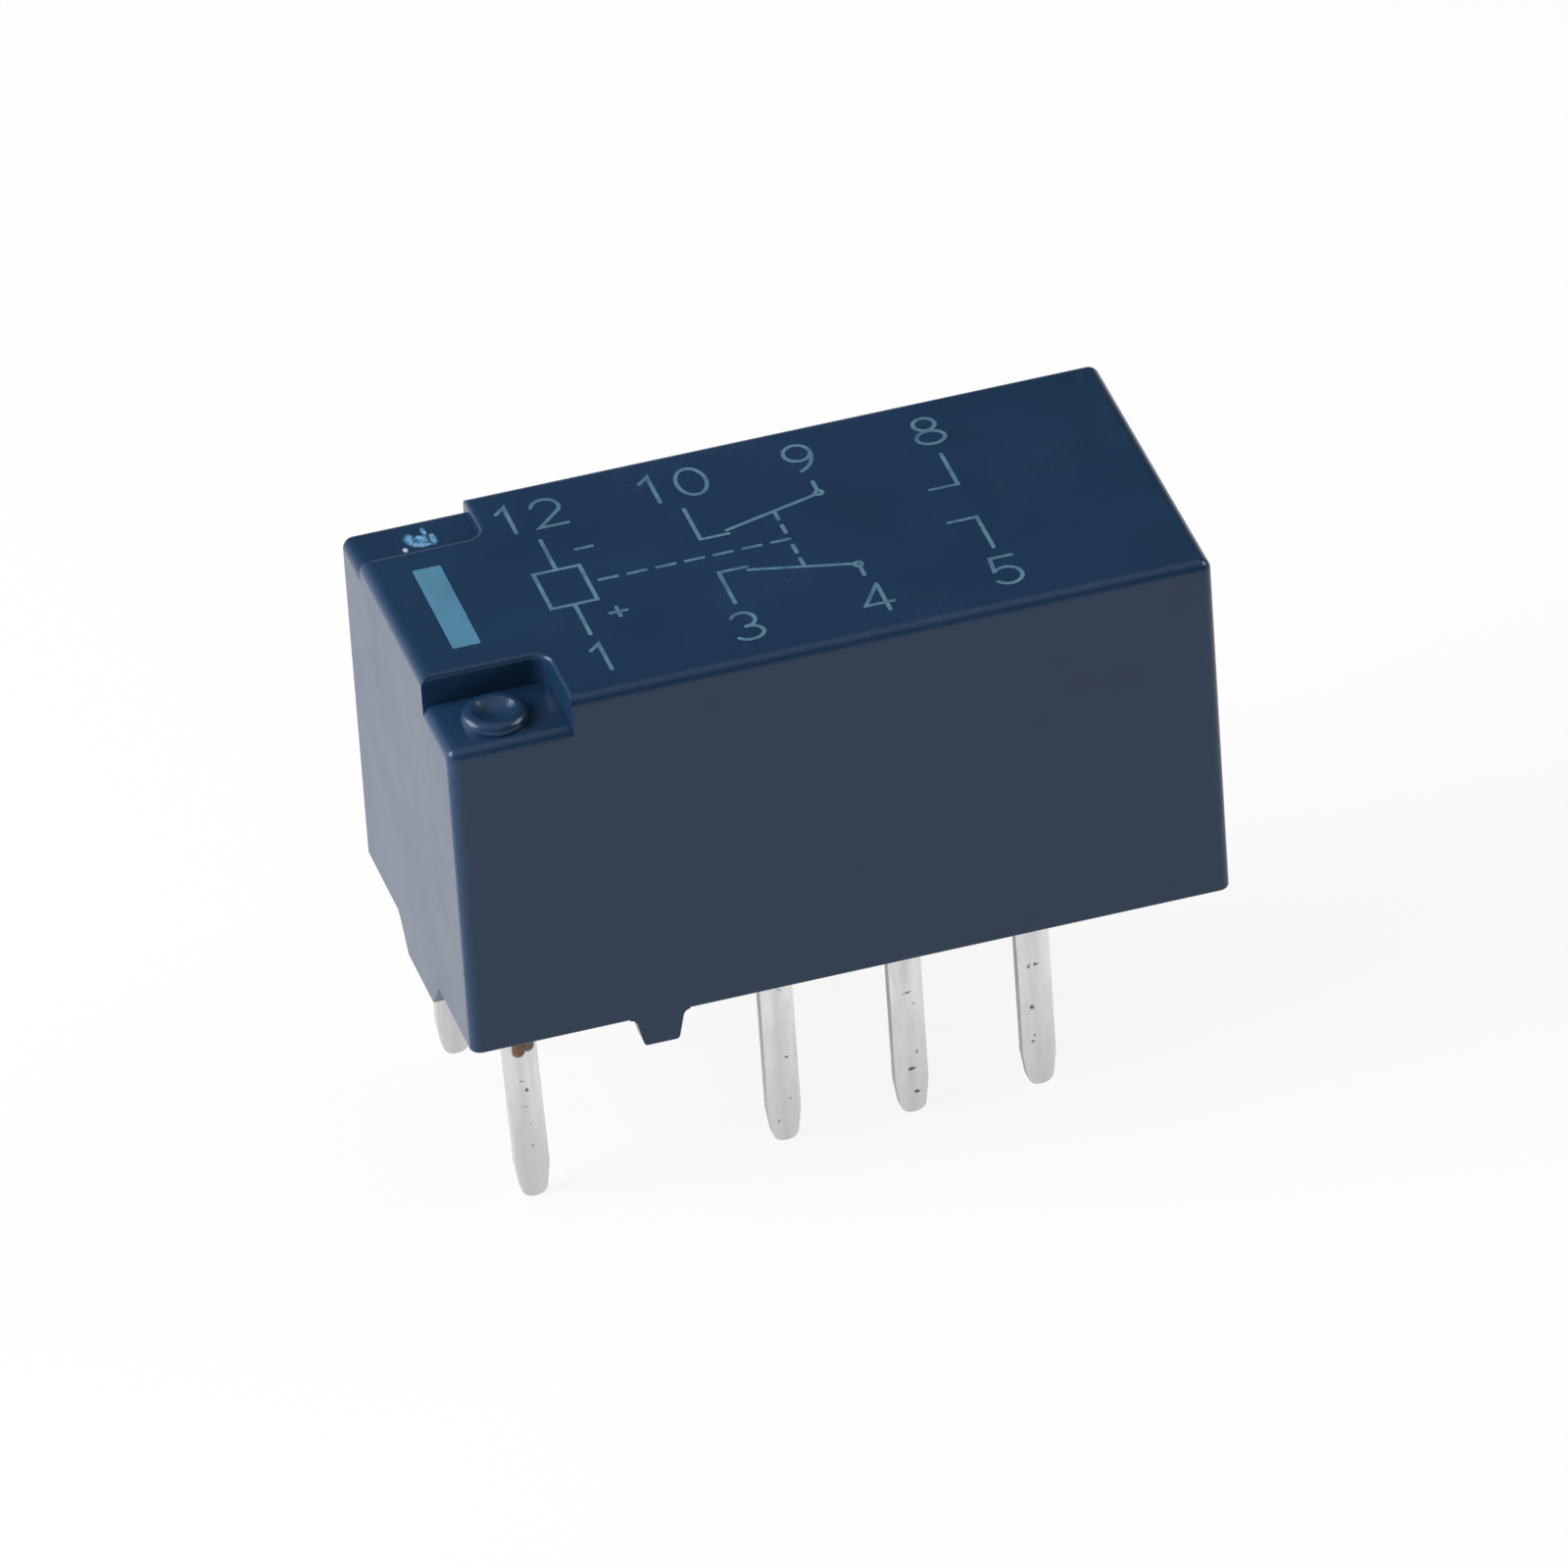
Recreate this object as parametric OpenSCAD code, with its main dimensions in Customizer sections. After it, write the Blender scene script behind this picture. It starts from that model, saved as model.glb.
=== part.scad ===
// Board-mounted signal relay: sealed, polarised, two changeover contacts worked by a balanced armature.
// X runs along the case away from the marked end, Y across it, Z up. The terminal tips stand on Z = 0.

/* [Case] */
// Length of the case
case_l = 15; // [14.8:0.1:16.5]
// Width of the case
case_w = 7.4; // [7.3:0.1:8.2]
// Thickness of the side and end walls
wall_t = 0.4; // [0.3:0.05:0.45]
// Thickness of the roof
roof_t = 0.45; // [0.35:0.05:0.7]
// Free height between the roof and the armature moulding
headroom = 0.72; // [0.6:0.02:1.4]
// Radius of the upright outer corners and along the outer edges of the roof
edge_r = 0.22; // [0.15:0.01:0.35]
// Radius of the upright corners inside the case
inner_corner_r = 0.2; // [0.1:0.05:0.4]
// Radius along the outer edge of the lower rim
rim_r = 0.06; // [0.03:0.01:0.14]

/* [Corner notches] */
// Length of both notches from the marked end
notch_l = 2.44; // [2.1:0.02:3]
// Width of the deep notch, from the front face
deep_notch_w = 1.75; // [1.5:0.05:2.2]
// Depth of the deep notch below the roof
deep_notch_d = 0.65; // [0.4:0.05:0.8]
// Width of the shallow notch, from the rear face
shallow_notch_w = 1.43; // [1:0.01:2]
// Depth of the shallow notch below the roof
shallow_notch_d = 0.27; // [0.15:0.01:0.6]
// Radius of the notches' inner corner
notch_corner_r = 0.35; // [0.1:0.05:0.8]
// Radius along the rims of the notches
notch_rim_r = 0.1; // [0.04:0.02:0.14]

/* [Vent] */
// Diameter of the closed vent nub
vent_d = 1.3; // [0.8:0.05:1.4]
// Height of the nub above the notch floor
vent_h = 0.22; // [0.1:0.02:0.35]
// Radius along the nub's upper edge
vent_edge_r = 0.17; // [0.04:0.01:0.2]
// Diameter of the dimple in the nub
dimple_d = 0.85; // [0.4:0.05:0.9]
// Depth of the dimple
dimple_h = 0.15; // [0.05:0.01:0.2]
// Distance of the nub's centre from the marked end
vent_from_end = 1.17; // [0.9:0.01:1.3]
// Distance of the nub's centre from the front face
vent_from_front = 0.9; // [0.8:0.01:1]

/* [Feet] */
// Height of the stand-off feet below the lower rim
foot_h = 0.62; // [0.3:0.02:1]
// Thickness of the feet
foot_t = 0.45; // [0.3:0.05:0.6]
// Width of a side foot at its bottom
side_foot_w = 0.68; // [0.4:0.02:1]
// Flare of a side foot on each flank
side_foot_flare = 0.14; // [0.1:0.02:0.4]
// Distance of the side feet from the marked end
side_foot_from_end = 3.69; // [3:0.01:4.2]
// Width of an end foot at its bottom
end_foot_w = 1.73; // [1:0.01:2.4]
// Flare of an end foot on each flank
end_foot_flare = 0.48; // [0.1:0.02:0.6]
// Radius at the root of each foot
foot_root_r = 0.14; // [0.05:0.01:0.25]
// Radius of the lower corners of each foot
foot_corner_r = 0.08; // [0.04:0.01:0.14]

/* [Terminals] */
// Length of the terminals below the feet
pin_l = 3.6; // [2.5:0.1:4.5]
// Width of a terminal blade
blade_w = 0.65; // [0.5:0.05:0.8]
// Thickness of a terminal blade
blade_t = 0.25; // [0.2:0.01:0.3]
// Width of a terminal at its tip
tip_w = 0.52; // [0.48:0.01:0.6]
// Corner radius of a terminal tip
tip_r = 0.22; // [0.1:0.01:0.24]
// Length of the taper towards a terminal tip
taper_l = 0.7; // [0.3:0.05:1.2]
// Pitch of the terminals along the case
pitch = 2.54; // [2.5:0.01:2.6]
// Distance between the two terminal rows
row_gap = 5.08; // [5.04:0.01:5.2]
// Distance of the coil terminals from the marked end
coil_pin_from_end = 1.15; // [1.05:0.01:1.3]
// Sideways set of the first terminal's tip
pin_1_lean = 0.1; // [0:0.01:0.2]
// Width of the coil terminals' winding posts
post_w = 0.4; // [0.3:0.02:0.5]
// Height of the winding posts above the base's end block
post_h = 0.7; // [0.55:0.05:0.9]

/* [Sealing resin] */
// Depth of the resin's face inside the lower rim
resin_recess = 0.13; // [0.05:0.01:0.3]
// Thickness of the resin
resin_t = 0.5; // [0.3:0.05:0.8]
// Height of the resin collar round each terminal
collar_h = 0.26; // [0.1:0.02:0.5]
// Space between the collar's small end and a blade's corner
collar_land = 0.02; // [0.01:0.01:0.1]
// Length of the run of resin down the first terminal
run_l = 1.14; // [0.5:0.02:1.3]
// Length by which the second drop of the run is shorter than the first
run_step = 0.1; // [0.02:0.01:0.2]
// Radius of both drops of the run
run_r = 0.14; // [0.1:0.01:0.18]
// Distance of each drop from the middle of the run
run_set = 0.09; // [0.06:0.01:0.14]
// Sideways set of the run from the middle of the blade
run_aside = 0.08; // [0:0.01:0.1]
// Depth of the drops' middle inside the blade's face
run_sink = 0.05; // [0.02:0.01:0.08]

/* [Base] */
// Thickness of the base's floor
base_floor_t = 0.4; // [0.3:0.05:0.8]
// Space between the base and the case walls
base_fit = 0.05; // [0.02:0.01:0.1]
// Space between the coil assembly and the base
coil_fit = 0.05; // [0.02:0.01:0.1]
// Height of the end block that holds the coil terminals
end_block_h = 2.3; // [1.8:0.05:2.4]
// Distance between the end block and the trough
end_block_step = 0.1; // [0.1:0.02:0.3]

/* [Coil] */
// Distance of the core from the marked end
core_from_marked_end = 2.57; // [2.5:0.01:3]
// Distance of the core from the far end
core_from_far_end = 1.37; // [1.2:0.01:2]
// Width of the core
core_w = 1.5; // [1.2:0.05:1.6]
// Thickness of the core
core_t = 0.8; // [0.6:0.05:0.9]
// Space between the core and the bobbin
core_fit = 0.03; // [0.02:0.01:0.06]
// Wall of the bobbin's barrel
barrel_t = 0.3; // [0.2:0.05:0.35]
// Thickness of the wound wire
winding_t = 0.65; // [0.5:0.05:0.7]
// Thickness of the bobbin's flanges
flange_t = 0.5; // [0.3:0.05:0.6]
// Step of the flanges above the wound wire
flange_step = 0.1; // [0.05:0.01:0.2]
// Corner radius of the wound wire
winding_corner_r = 0.4; // [0.2:0.05:0.5]
// Width of the slots that lead the wire out
lead_slot_w = 0.3; // [0.24:0.02:0.36]
// Depth of the slots that lead the wire out
lead_slot_d = 0.4; // [0.3:0.02:0.5]
// Diameter of the lead wire
wire_d = 0.1; // [0.06:0.01:0.12]
// Turns of wire round a winding post
post_turns = 3; // [2:1:3]
// Height that the wire climbs with each turn round a post
turn_climb = 0.13; // [0.12:0.01:0.16]
// Bow of the lead wire out of its straight way to the post
lead_bow = 0.4; // [0.2:0.02:0.5]

/* [Magnet] */
// Width of the magnet
magnet_w = 2; // [1.6:0.05:2.05]
// Thickness of the magnet
magnet_t = 0.8; // [0.6:0.05:1.1]
// Space between the magnet and the core's legs
magnet_end_gap = 0.1; // [0.05:0.01:0.2]

/* [Armature] */
// Width of the armature plate
armature_w = 2; // [1.7:0.05:2.1]
// Thickness of the armature plate
armature_t = 0.6; // [0.4:0.05:0.8]
// Corner radius of the armature plate
armature_corner_r = 0.3; // [0.1:0.05:0.5]
// Radius of the fulcrum rib under the plate
fulcrum_r = 0.3; // [0.25:0.01:0.4]
// Running gap between the fulcrum rib and the magnet
fulcrum_gap = 0.02; // [0.02:0.01:0.05]
// Gap left between the plate and a pole face at the end of its swing
pole_gap = 0.02; // [0.02:0.01:0.1]
// Whole swing of the armature in degrees
swing = 4.2; // [3:0.1:4.6]
// Length of the moulding on the armature
block_l = 4.4; // [3.4:0.1:5]
// Cover of the moulding above the plate
block_cover = 0.6; // [0.4:0.05:0.9]
// Reach of the moulding's cheeks below the springs
cheek_drop = 0.3; // [0.2:0.02:0.34]
// Space between the cheeks and the magnet
cheek_gap = 0.12; // [0.1:0.01:0.14]
// Cover of the cheeks inside each spring
cheek_inner_t = 0.18; // [0.14:0.01:0.2]
// Cover of the cheeks outside each spring
cheek_outer_t = 0.1; // [0.08:0.01:0.14]
// Corner radius of the moulding
block_corner_r = 0.35; // [0.1:0.05:0.5]
// Diameter of the sprue dimple on the moulding
sprue_d = 0.7; // [0.4:0.05:1]
// Depth of the sprue dimple
sprue_h = 0.12; // [0.05:0.01:0.2]

/* [Contacts] */
// Distance of the contacts from the armature's ends
contact_inset = 0.63; // [0.5:0.01:0.8]
// Length of a contact spring beyond its contacts
spring_end = 0.4; // [0.25:0.05:0.5]
// Width of a contact spring
spring_w = 0.9; // [0.8:0.02:0.94]
// Thickness of a contact spring
spring_t = 0.1; // [0.08:0.01:0.14]
// Corner radius of a contact spring
spring_corner_r = 0.18; // [0.1:0.01:0.3]
// Length of the slot that parts a spring's twin tips
tip_slot_l = 1.7; // [1.2:0.1:2]
// Width of the slot that parts a spring's twin tips
tip_slot_w = 0.16; // [0.1:0.01:0.2]
// Width of the hinge arm of a contact spring
hinge_arm_w = 0.5; // [0.4:0.05:0.6]
// Running gap between a hinge arm and its terminal
hinge_gap = 0.03; // [0.02:0.01:0.06]
// Diameter of a moving contact
moving_d = 0.3; // [0.24:0.01:0.34]
// Height of a moving contact
moving_h = 0.2; // [0.15:0.01:0.25]
// Diameter of a fixed contact
fixed_d = 0.84; // [0.7:0.02:0.9]
// Height of a fixed contact
fixed_h = 0.2; // [0.15:0.01:0.25]
// Bevel along a fixed contact's edge
fixed_bevel = 0.06; // [0.03:0.01:0.08]
// Gap left between closed contacts
contact_gap = 0.02; // [0.02:0.01:0.04]
// Length of the pad under a fixed contact
pad_l = 1; // [0.95:0.05:1.1]
// Space between the pads and the magnet
pad_gap = 0.3; // [0.25:0.01:0.32]
// Height of the arms that join the fixed terminals to their pads
strap_h = 0.7; // [0.5:0.05:0.9]
// Width of the common terminals' hinge tabs
tab_w = 0.8; // [0.6:0.05:1]

/* [Hidden] */

$fn = 48;
// Overshoot of a cut past the face that it opens
over = 0.5;
// Depth to which a shape reaches into the one that it fuses with
fuse = 0.1;
// Steps of each arc in the outline of a foot or a blade
arc_steps = 6;
// Sides and steps per turn of a swept wire
wire_sides = 8;
wire_steps = 16;
FRONT = -1;
REAR = 1;

// Stations along the case
end_x = -case_l / 2;
core_l = case_l - core_from_marked_end - core_from_far_end;
pivot_x = end_x + core_from_marked_end + core_l / 2;
contact_arm = core_l / 2 - contact_inset;
coil_pin_x = end_x + coil_pin_from_end;
break_pin_x = coil_pin_x + 2 * pitch;
common_pin_x = coil_pin_x + 3 * pitch;
make_pin_x = coil_pin_x + 4 * pitch;
row_y = row_gap / 2;
inside_l = case_l - 2 * wall_t;
inside_w = case_w - 2 * wall_t;

// Levels from the terminal tips up to the coil
rim_z = pin_l + foot_h;
resin_z = rim_z + resin_recess;
base_z = resin_z + resin_t;
floor_z = base_z + base_floor_t;
barrel_w = core_w + 2 * (core_fit + barrel_t);
barrel_h = core_t + 2 * (core_fit + barrel_t);
winding_w = barrel_w + 2 * winding_t;
winding_h = barrel_h + 2 * winding_t;
flange_w = winding_w + 2 * flange_step;
flange_h = winding_h + 2 * flange_step;
coil_z = floor_z + flange_h / 2;
bobbin_l = core_l - 2 * (core_fit + core_t);
winding_l = bobbin_l - 2 * flange_t;

// Levels from the magnet up to the roof
magnet_z = floor_z + flange_h;
magnet_l = core_l - 2 * (core_t + magnet_end_gap);
pivot_z = magnet_z + magnet_t + fulcrum_gap + fulcrum_r;
half_swing = swing / 2;
pole_z = pivot_z - core_l / 2 * sin(half_swing) - pole_gap;
block_z = pivot_z + armature_t + block_cover;
top_z = block_z + headroom + roof_t;
deep_floor_z = top_z - deep_notch_d;
shallow_floor_z = top_z - shallow_notch_d;

// Contact springs, contacts and pads
cheek_y = magnet_w / 2 + cheek_gap;
spring_y = cheek_y + cheek_inner_t + spring_w / 2;
block_w = 2 * spring_y + spring_w + 2 * cheek_outer_t;
spring_l = 2 * (contact_arm + spring_end);
moving_y = (spring_w + tip_slot_w) / 4;
tip_drop = (contact_arm + moving_d / 2) * sin(half_swing);
contact_z = pivot_z - tip_drop - spring_t / 2 - moving_h - contact_gap;
pad_z = contact_z - fixed_h;
pad_y = magnet_w / 2 + pad_gap;
tab_z = pivot_z - spring_t / 2 - hinge_gap;
end_block_z = floor_z + end_block_h;
trough_l = core_l + 2 * coil_fit;
trough_w = flange_w + 2 * coil_fit;
slot_y = (magnet_w + flange_w) / 4;

// Box between two opposite corners
module span_box(low, high) {
  translate(low)
    cube(high - low);
}

// Rectangle centred on the origin with rounded corners
module rounded_rect(l, w, r) {
  square([l - 2 * r, w], center = true);
  square([l, w - 2 * r], center = true);
  for (x = [-1, 1], y = [-1, 1])
    translate([x * (l / 2 - r), y * (w / 2 - r)])
      circle(r);
}

// Upright face of a moulded slab: rounded above by top_r and below by low_r
module slab_face(l, low, high, low_r, top_r) {
  translate([-l / 2 + low_r, low])
    square([l - 2 * low_r, high - low - top_r]);
  translate([-l / 2, low + low_r])
    square([l, high - low - low_r - top_r]);
  translate([-l / 2 + top_r, high - top_r - low_r])
    square([l - 2 * top_r, top_r + low_r]);
  for (x = [-1, 1]) {
    translate([x * (l / 2 - low_r), low + low_r])
      circle(low_r);
    translate([x * (l / 2 - top_r), high - top_r])
      circle(top_r);
  }
}

// Turns a drawing in X and Z upright and gives it a thickness centred on Y = 0
module upright(thickness) {
  rotate([90, 0, 0])
    linear_extrude(thickness, center = true)
      children();
}

// Quarter of a corner of the case about the Z axis, with a ball on top and a rounded lower rim
module corner_post(high) {
  rotate_extrude(angle = 90)
    intersection() {
      translate([0, rim_z])
        square([edge_r, high - rim_z]);
      union() {
        square([edge_r - rim_r, high - edge_r]);
        translate([0, rim_z + rim_r])
          square([edge_r, high - edge_r - rim_z - rim_r]);
        translate([edge_r - rim_r, rim_z + rim_r])
          circle(rim_r);
        translate([0, high - edge_r])
          circle(edge_r);
      }
    }
}

// Outer form of the case up to a given level, with its edges and corners rounded
module moulded_slab(high) {
  flat_l = case_l - 2 * edge_r;
  flat_w = case_w - 2 * edge_r;
  upright(flat_w)
    slab_face(case_l, rim_z, high, rim_r, edge_r);
  rotate([0, 0, 90])
    upright(flat_l)
      slab_face(case_w, rim_z, high, rim_r, edge_r);
  for (corner = [[1, 1, 0], [-1, 1, 90], [-1, -1, 180], [1, -1, 270]])
    translate([corner.x * flat_l / 2, corner.y * flat_w / 2, 0])
      rotate([0, 0, corner.z])
        corner_post(high);
}

// Cutter for a front corner notch whose inner corner lies on the origin, rounding the rim at height rim
module notch_cutter(w, low, rim) {
  r = notch_corner_r;
  reach = notch_l + over;
  side = w + over;
  translate([0, 0, low])
    linear_extrude(rim - low + over) {
      translate([-reach, -side])
        square([reach, side - r]);
      translate([-reach, -side])
        square([reach - r, side]);
      translate([-r, -r])
        circle(r);
    }
  translate([-r, -r, rim])
    rotate_extrude(angle = 90)
      translate([r, 0])
        rim_cut();
  translate([0, -r, rim])
    rotate([90, 0, 0])
      linear_extrude(side - r)
        rim_cut();
  translate([-r, 0, rim])
    rotate([90, 0, -90])
      linear_extrude(reach - r)
        mirror([1, 0])
          rim_cut();
}

// Section that rounds a rim lying at the origin, with the wall's top towards +X
module rim_cut() {
  difference() {
    translate([-fuse, -notch_rim_r])
      square([fuse + notch_rim_r, notch_rim_r + over]);
    translate([notch_rim_r, -notch_rim_r])
      circle(notch_rim_r);
  }
}

// Foot below the origin, foot_t thick along +Y: flared to its filleted root and rounded at its lower corners
module foot(w, flare) {
  lean = atan2(flare, foot_h);
  // Share of a radius by which its centre stands beside the sharp corner that it rounds
  set = (1 - sin(lean)) / cos(lean);
  corner = [w / 2 - foot_corner_r * set, foot_corner_r - foot_h];
  root = [w / 2 + flare + foot_root_r * set, -foot_root_r];
  turns = [for (k = [0 : arc_steps]) (90 - lean) * k / arc_steps - 90];
  flank = concat(
    [for (k = [0 : arc_steps]) corner + foot_corner_r * [cos(turns[k]), sin(turns[k])]],
    [for (k = [arc_steps : -1 : 0]) root - foot_root_r * [cos(turns[k]), sin(turns[k])]],
    [[root.x, rim_r]]
  );
  last = len(flank) - 1;
  translate([0, foot_t, 0])
    rotate([90, 0, 0])
      linear_extrude(foot_t)
        polygon(concat(flank, [for (k = [last : -1 : 0]) [-flank[k].x, flank[k].y]]));
}

// Closed vent: a low nub with a rounded edge and a dimple
module vent_nub() {
  dimple_ball_r = (pow(dimple_d / 2, 2) + pow(dimple_h, 2)) / (2 * dimple_h);
  difference() {
    translate([0, 0, -roof_t / 2])
      rotate_extrude() {
        square([vent_d / 2, roof_t / 2 + vent_h - vent_edge_r]);
        square([vent_d / 2 - vent_edge_r, roof_t / 2 + vent_h]);
        translate([vent_d / 2 - vent_edge_r, roof_t / 2 + vent_h - vent_edge_r])
          circle(vent_edge_r);
      }
    translate([0, 0, vent_h - dimple_h + dimple_ball_r])
      sphere(dimple_ball_r);
  }
}

module case_outside() {
  corner_x = end_x + notch_l;
  deep_y = deep_notch_w - case_w / 2;
  shallow_y = case_w / 2 - shallow_notch_w;
  sunk = edge_r + fuse;
  difference() {
    moulded_slab(top_z);
    translate([corner_x, deep_y, 0])
      notch_cutter(deep_notch_w, deep_floor_z - sunk, top_z);
    translate([corner_x, shallow_y, 0])
      mirror([0, 1, 0])
        notch_cutter(shallow_notch_w, shallow_floor_z - sunk, top_z);
  }
  intersection() {
    moulded_slab(deep_floor_z);
    span_box([end_x, -case_w / 2, rim_z + wall_t], [corner_x + over, deep_y + over, deep_floor_z]);
  }
  intersection() {
    moulded_slab(shallow_floor_z);
    span_box([end_x, shallow_y - over, rim_z + wall_t], [corner_x + over, case_w / 2, shallow_floor_z]);
  }
  translate([end_x + vent_from_end, vent_from_front - case_w / 2, deep_floor_z])
    vent_nub();
}

// Space inside the case, which steps down under the notches
module case_inside() {
  difference() {
    translate([0, 0, rim_z - over])
      linear_extrude(top_z - roof_t - rim_z + over)
        rounded_rect(inside_l, inside_w, inner_corner_r);
    span_box([end_x, -case_w / 2, deep_floor_z - roof_t],
             [end_x + notch_l + wall_t, deep_notch_w + wall_t - case_w / 2, top_z]);
    span_box([end_x, case_w / 2 - shallow_notch_w - wall_t, shallow_floor_z - roof_t],
             [end_x + notch_l + wall_t, case_w / 2, top_z]);
  }
}

module case() {
  color("#34465c") {
    difference() {
      case_outside();
      case_inside();
    }
    for (turn = [0, 180])
      rotate([0, 0, turn])
        translate([(turn == 0 ? 1 : -1) * (end_x + side_foot_from_end), -case_w / 2, rim_z])
          foot(side_foot_w, side_foot_flare);
    for (turn = [90, -90])
      rotate([0, 0, turn])
        translate([0, -case_l / 2, rim_z])
          foot(end_foot_w, end_foot_flare);
  }
}

// Outline of a terminal blade from its rounded tip up to a level, its tip set sideways by lean
module blade_outline(high, lean = 0) {
  half = blade_w / 2;
  turns = [for (k = [0 : arc_steps]) 90 * k / arc_steps];
  tip = [for (turn = turns) [tip_w / 2 - tip_r * (1 - sin(turn)), tip_r * (1 - cos(turn))]];
  polygon(concat(
    [for (corner = tip) [lean + corner.x, corner.y]],
    [[lean + half, taper_l], [half, resin_z], [half, high]],
    [[-half, high], [-half, resin_z], [lean - half, taper_l]],
    [for (k = [arc_steps : -1 : 0]) [lean - tip[k].x, tip[k].y]]
  ));
}

// Coil terminal: a blade that narrows to the post on which the wire is wound
module coil_terminal(row, lean = 0) {
  translate([coil_pin_x, row * row_y, 0])
    upright(blade_t) {
      blade_outline(end_block_z - over, lean);
      translate([-post_w / 2, resin_z])
        square([post_w, end_block_z + post_h - resin_z]);
    }
}

// Fixed terminal: a blade, a strap along the base's side wall, a riser and a pad bent inwards at its top
module fixed_terminal(pin_x, side, row) {
  contact_x = pivot_x + side * contact_arm;
  strap_z = floor_z + flange_h / 2;
  translate([0, row * row_y, 0])
    upright(blade_t) {
      translate([pin_x, 0])
        blade_outline(strap_z + strap_h);
      translate([min(pin_x - blade_w / 2, contact_x - pad_l / 2), strap_z])
        square([abs(contact_x - pin_x) + (blade_w + pad_l) / 2, strap_h]);
      translate([contact_x - pad_l / 2, strap_z])
        square([pad_l, pad_z - strap_z]);
    }
  translate([contact_x, 0, 0])
    mirror([0, row == FRONT ? 1 : 0, 0])
      span_box([-pad_l / 2, pad_y, pad_z - blade_t], [pad_l / 2, row_y + blade_t / 2, pad_z]);
}

// Common terminal: a blade that rises beside the pivot to carry the hinge arm of its contact spring
module common_terminal(row) {
  strap_z = floor_z + flange_h / 2;
  translate([0, row * row_y, 0])
    upright(blade_t) {
      translate([common_pin_x, 0])
        blade_outline(strap_z + strap_h);
      translate([pivot_x - tab_w / 2, strap_z])
        square([common_pin_x + blade_w / 2 - pivot_x + tab_w / 2, strap_h]);
      translate([pivot_x - tab_w / 2, strap_z])
        square([tab_w, tab_z - strap_z]);
    }
}

module all_terminals() {
  for (row = [FRONT, REAR]) {
    coil_terminal(row, row == FRONT ? pin_1_lean : 0);
    fixed_terminal(break_pin_x, -1, row);
    fixed_terminal(make_pin_x, 1, row);
    common_terminal(row);
  }
}

module fixed_contact(side, row) {
  color("#d8dadb")
    translate([pivot_x + side * contact_arm, row * spring_y, pad_z]) {
      cylinder(h = fixed_h - fixed_bevel, d = fixed_d);
      translate([0, 0, fixed_h - fixed_bevel])
        cylinder(h = fixed_bevel, d1 = fixed_d, d2 = fixed_d - 2 * fixed_bevel);
    }
}

// Collar of resin that creeps down a terminal
module resin_collar() {
  land_r = norm([blade_w, blade_t]) / 2 + collar_land;
  translate([0, 0, resin_z])
    rotate_extrude()
      difference() {
        translate([0, -collar_h])
          square([land_r + collar_h, 2 * collar_h]);
        translate([land_r + collar_h, -collar_h])
          circle(collar_h);
        translate([land_r + collar_h, -collar_h])
          square([over, 3 * collar_h]);
      }
}

module sealing_resin() {
  run_y = row_y + blade_t / 2 - run_sink;
  color("#8a4f22")
    difference() {
      union() {
        translate([0, 0, resin_z])
          linear_extrude(resin_t)
            rounded_rect(inside_l, inside_w, inner_corner_r);
        for (x = [coil_pin_x, break_pin_x, common_pin_x, make_pin_x], row = [FRONT, REAR])
          translate([x, row * row_y, 0])
            resin_collar();
        for (drop = [[-run_set, run_l], [run_set, run_l - run_step]])
          translate([coil_pin_x + run_aside + drop.x, FRONT * run_y, resin_z - drop.y + run_r]) {
            cylinder(h = drop.y, r = run_r);
            sphere(run_r);
          }
      }
      all_terminals();
    }
}

// Moulded base: a tub with a trough for the coil and walls for the terminals, lower at the marked end
module base() {
  inner_x = pivot_x - trough_l / 2;
  color("#2c2e31")
    difference() {
      translate([0, 0, base_z])
        linear_extrude(pad_z - blade_t - base_z)
          rounded_rect(inside_l - 2 * base_fit, inside_w - 2 * base_fit, inner_corner_r);
      span_box([inner_x, -trough_w / 2, floor_z], [inner_x + trough_l, trough_w / 2, top_z]);
      span_box([end_x, -case_w / 2, end_block_z], [inner_x - end_block_step, case_w / 2, top_z]);
      span_box([inner_x - over, -trough_w / 2, end_block_z], [inner_x + over, trough_w / 2, top_z]);
      all_terminals();
    }
}

module core() {
  color("#9a9da1")
    translate([pivot_x, 0, 0])
      upright(core_w) {
        translate([0, coil_z])
          square([core_l, core_t], center = true);
        for (x = [-core_l / 2, core_l / 2 - core_t])
          translate([x, coil_z - core_t / 2])
            square([core_t, pole_z - coil_z + core_t / 2]);
      }
}

// Bobbin moulded round the core: a barrel, two flanges and slots that lead the wire out
module bobbin() {
  color("#e9e4d6")
    translate([pivot_x, 0, coil_z])
      rotate([90, 0, 90])
        difference() {
          union() {
            linear_extrude(bobbin_l, center = true)
              square([barrel_w, barrel_h], center = true);
            for (side = [-1, 1])
              translate([0, 0, side * (bobbin_l - flange_t) / 2])
                linear_extrude(flange_t, center = true)
                  rounded_rect(flange_w, flange_h, flange_step);
          }
          linear_extrude(bobbin_l + over, center = true)
            square([core_w + 2 * core_fit, core_t + 2 * core_fit], center = true);
          for (row = [FRONT, REAR])
            translate([row * slot_y, flange_h / 2, (flange_t - bobbin_l) / 2])
              cube([lead_slot_w, 2 * lead_slot_d, flange_t + 2 * fuse], center = true);
        }
}

module coil_winding() {
  color("#b8622c")
    translate([pivot_x, 0, coil_z])
      rotate([90, 0, 90])
        linear_extrude(winding_l, center = true)
          difference() {
            rounded_rect(winding_w, winding_h, winding_corner_r);
            square([barrel_w, barrel_h], center = true);
          }
}

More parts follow.
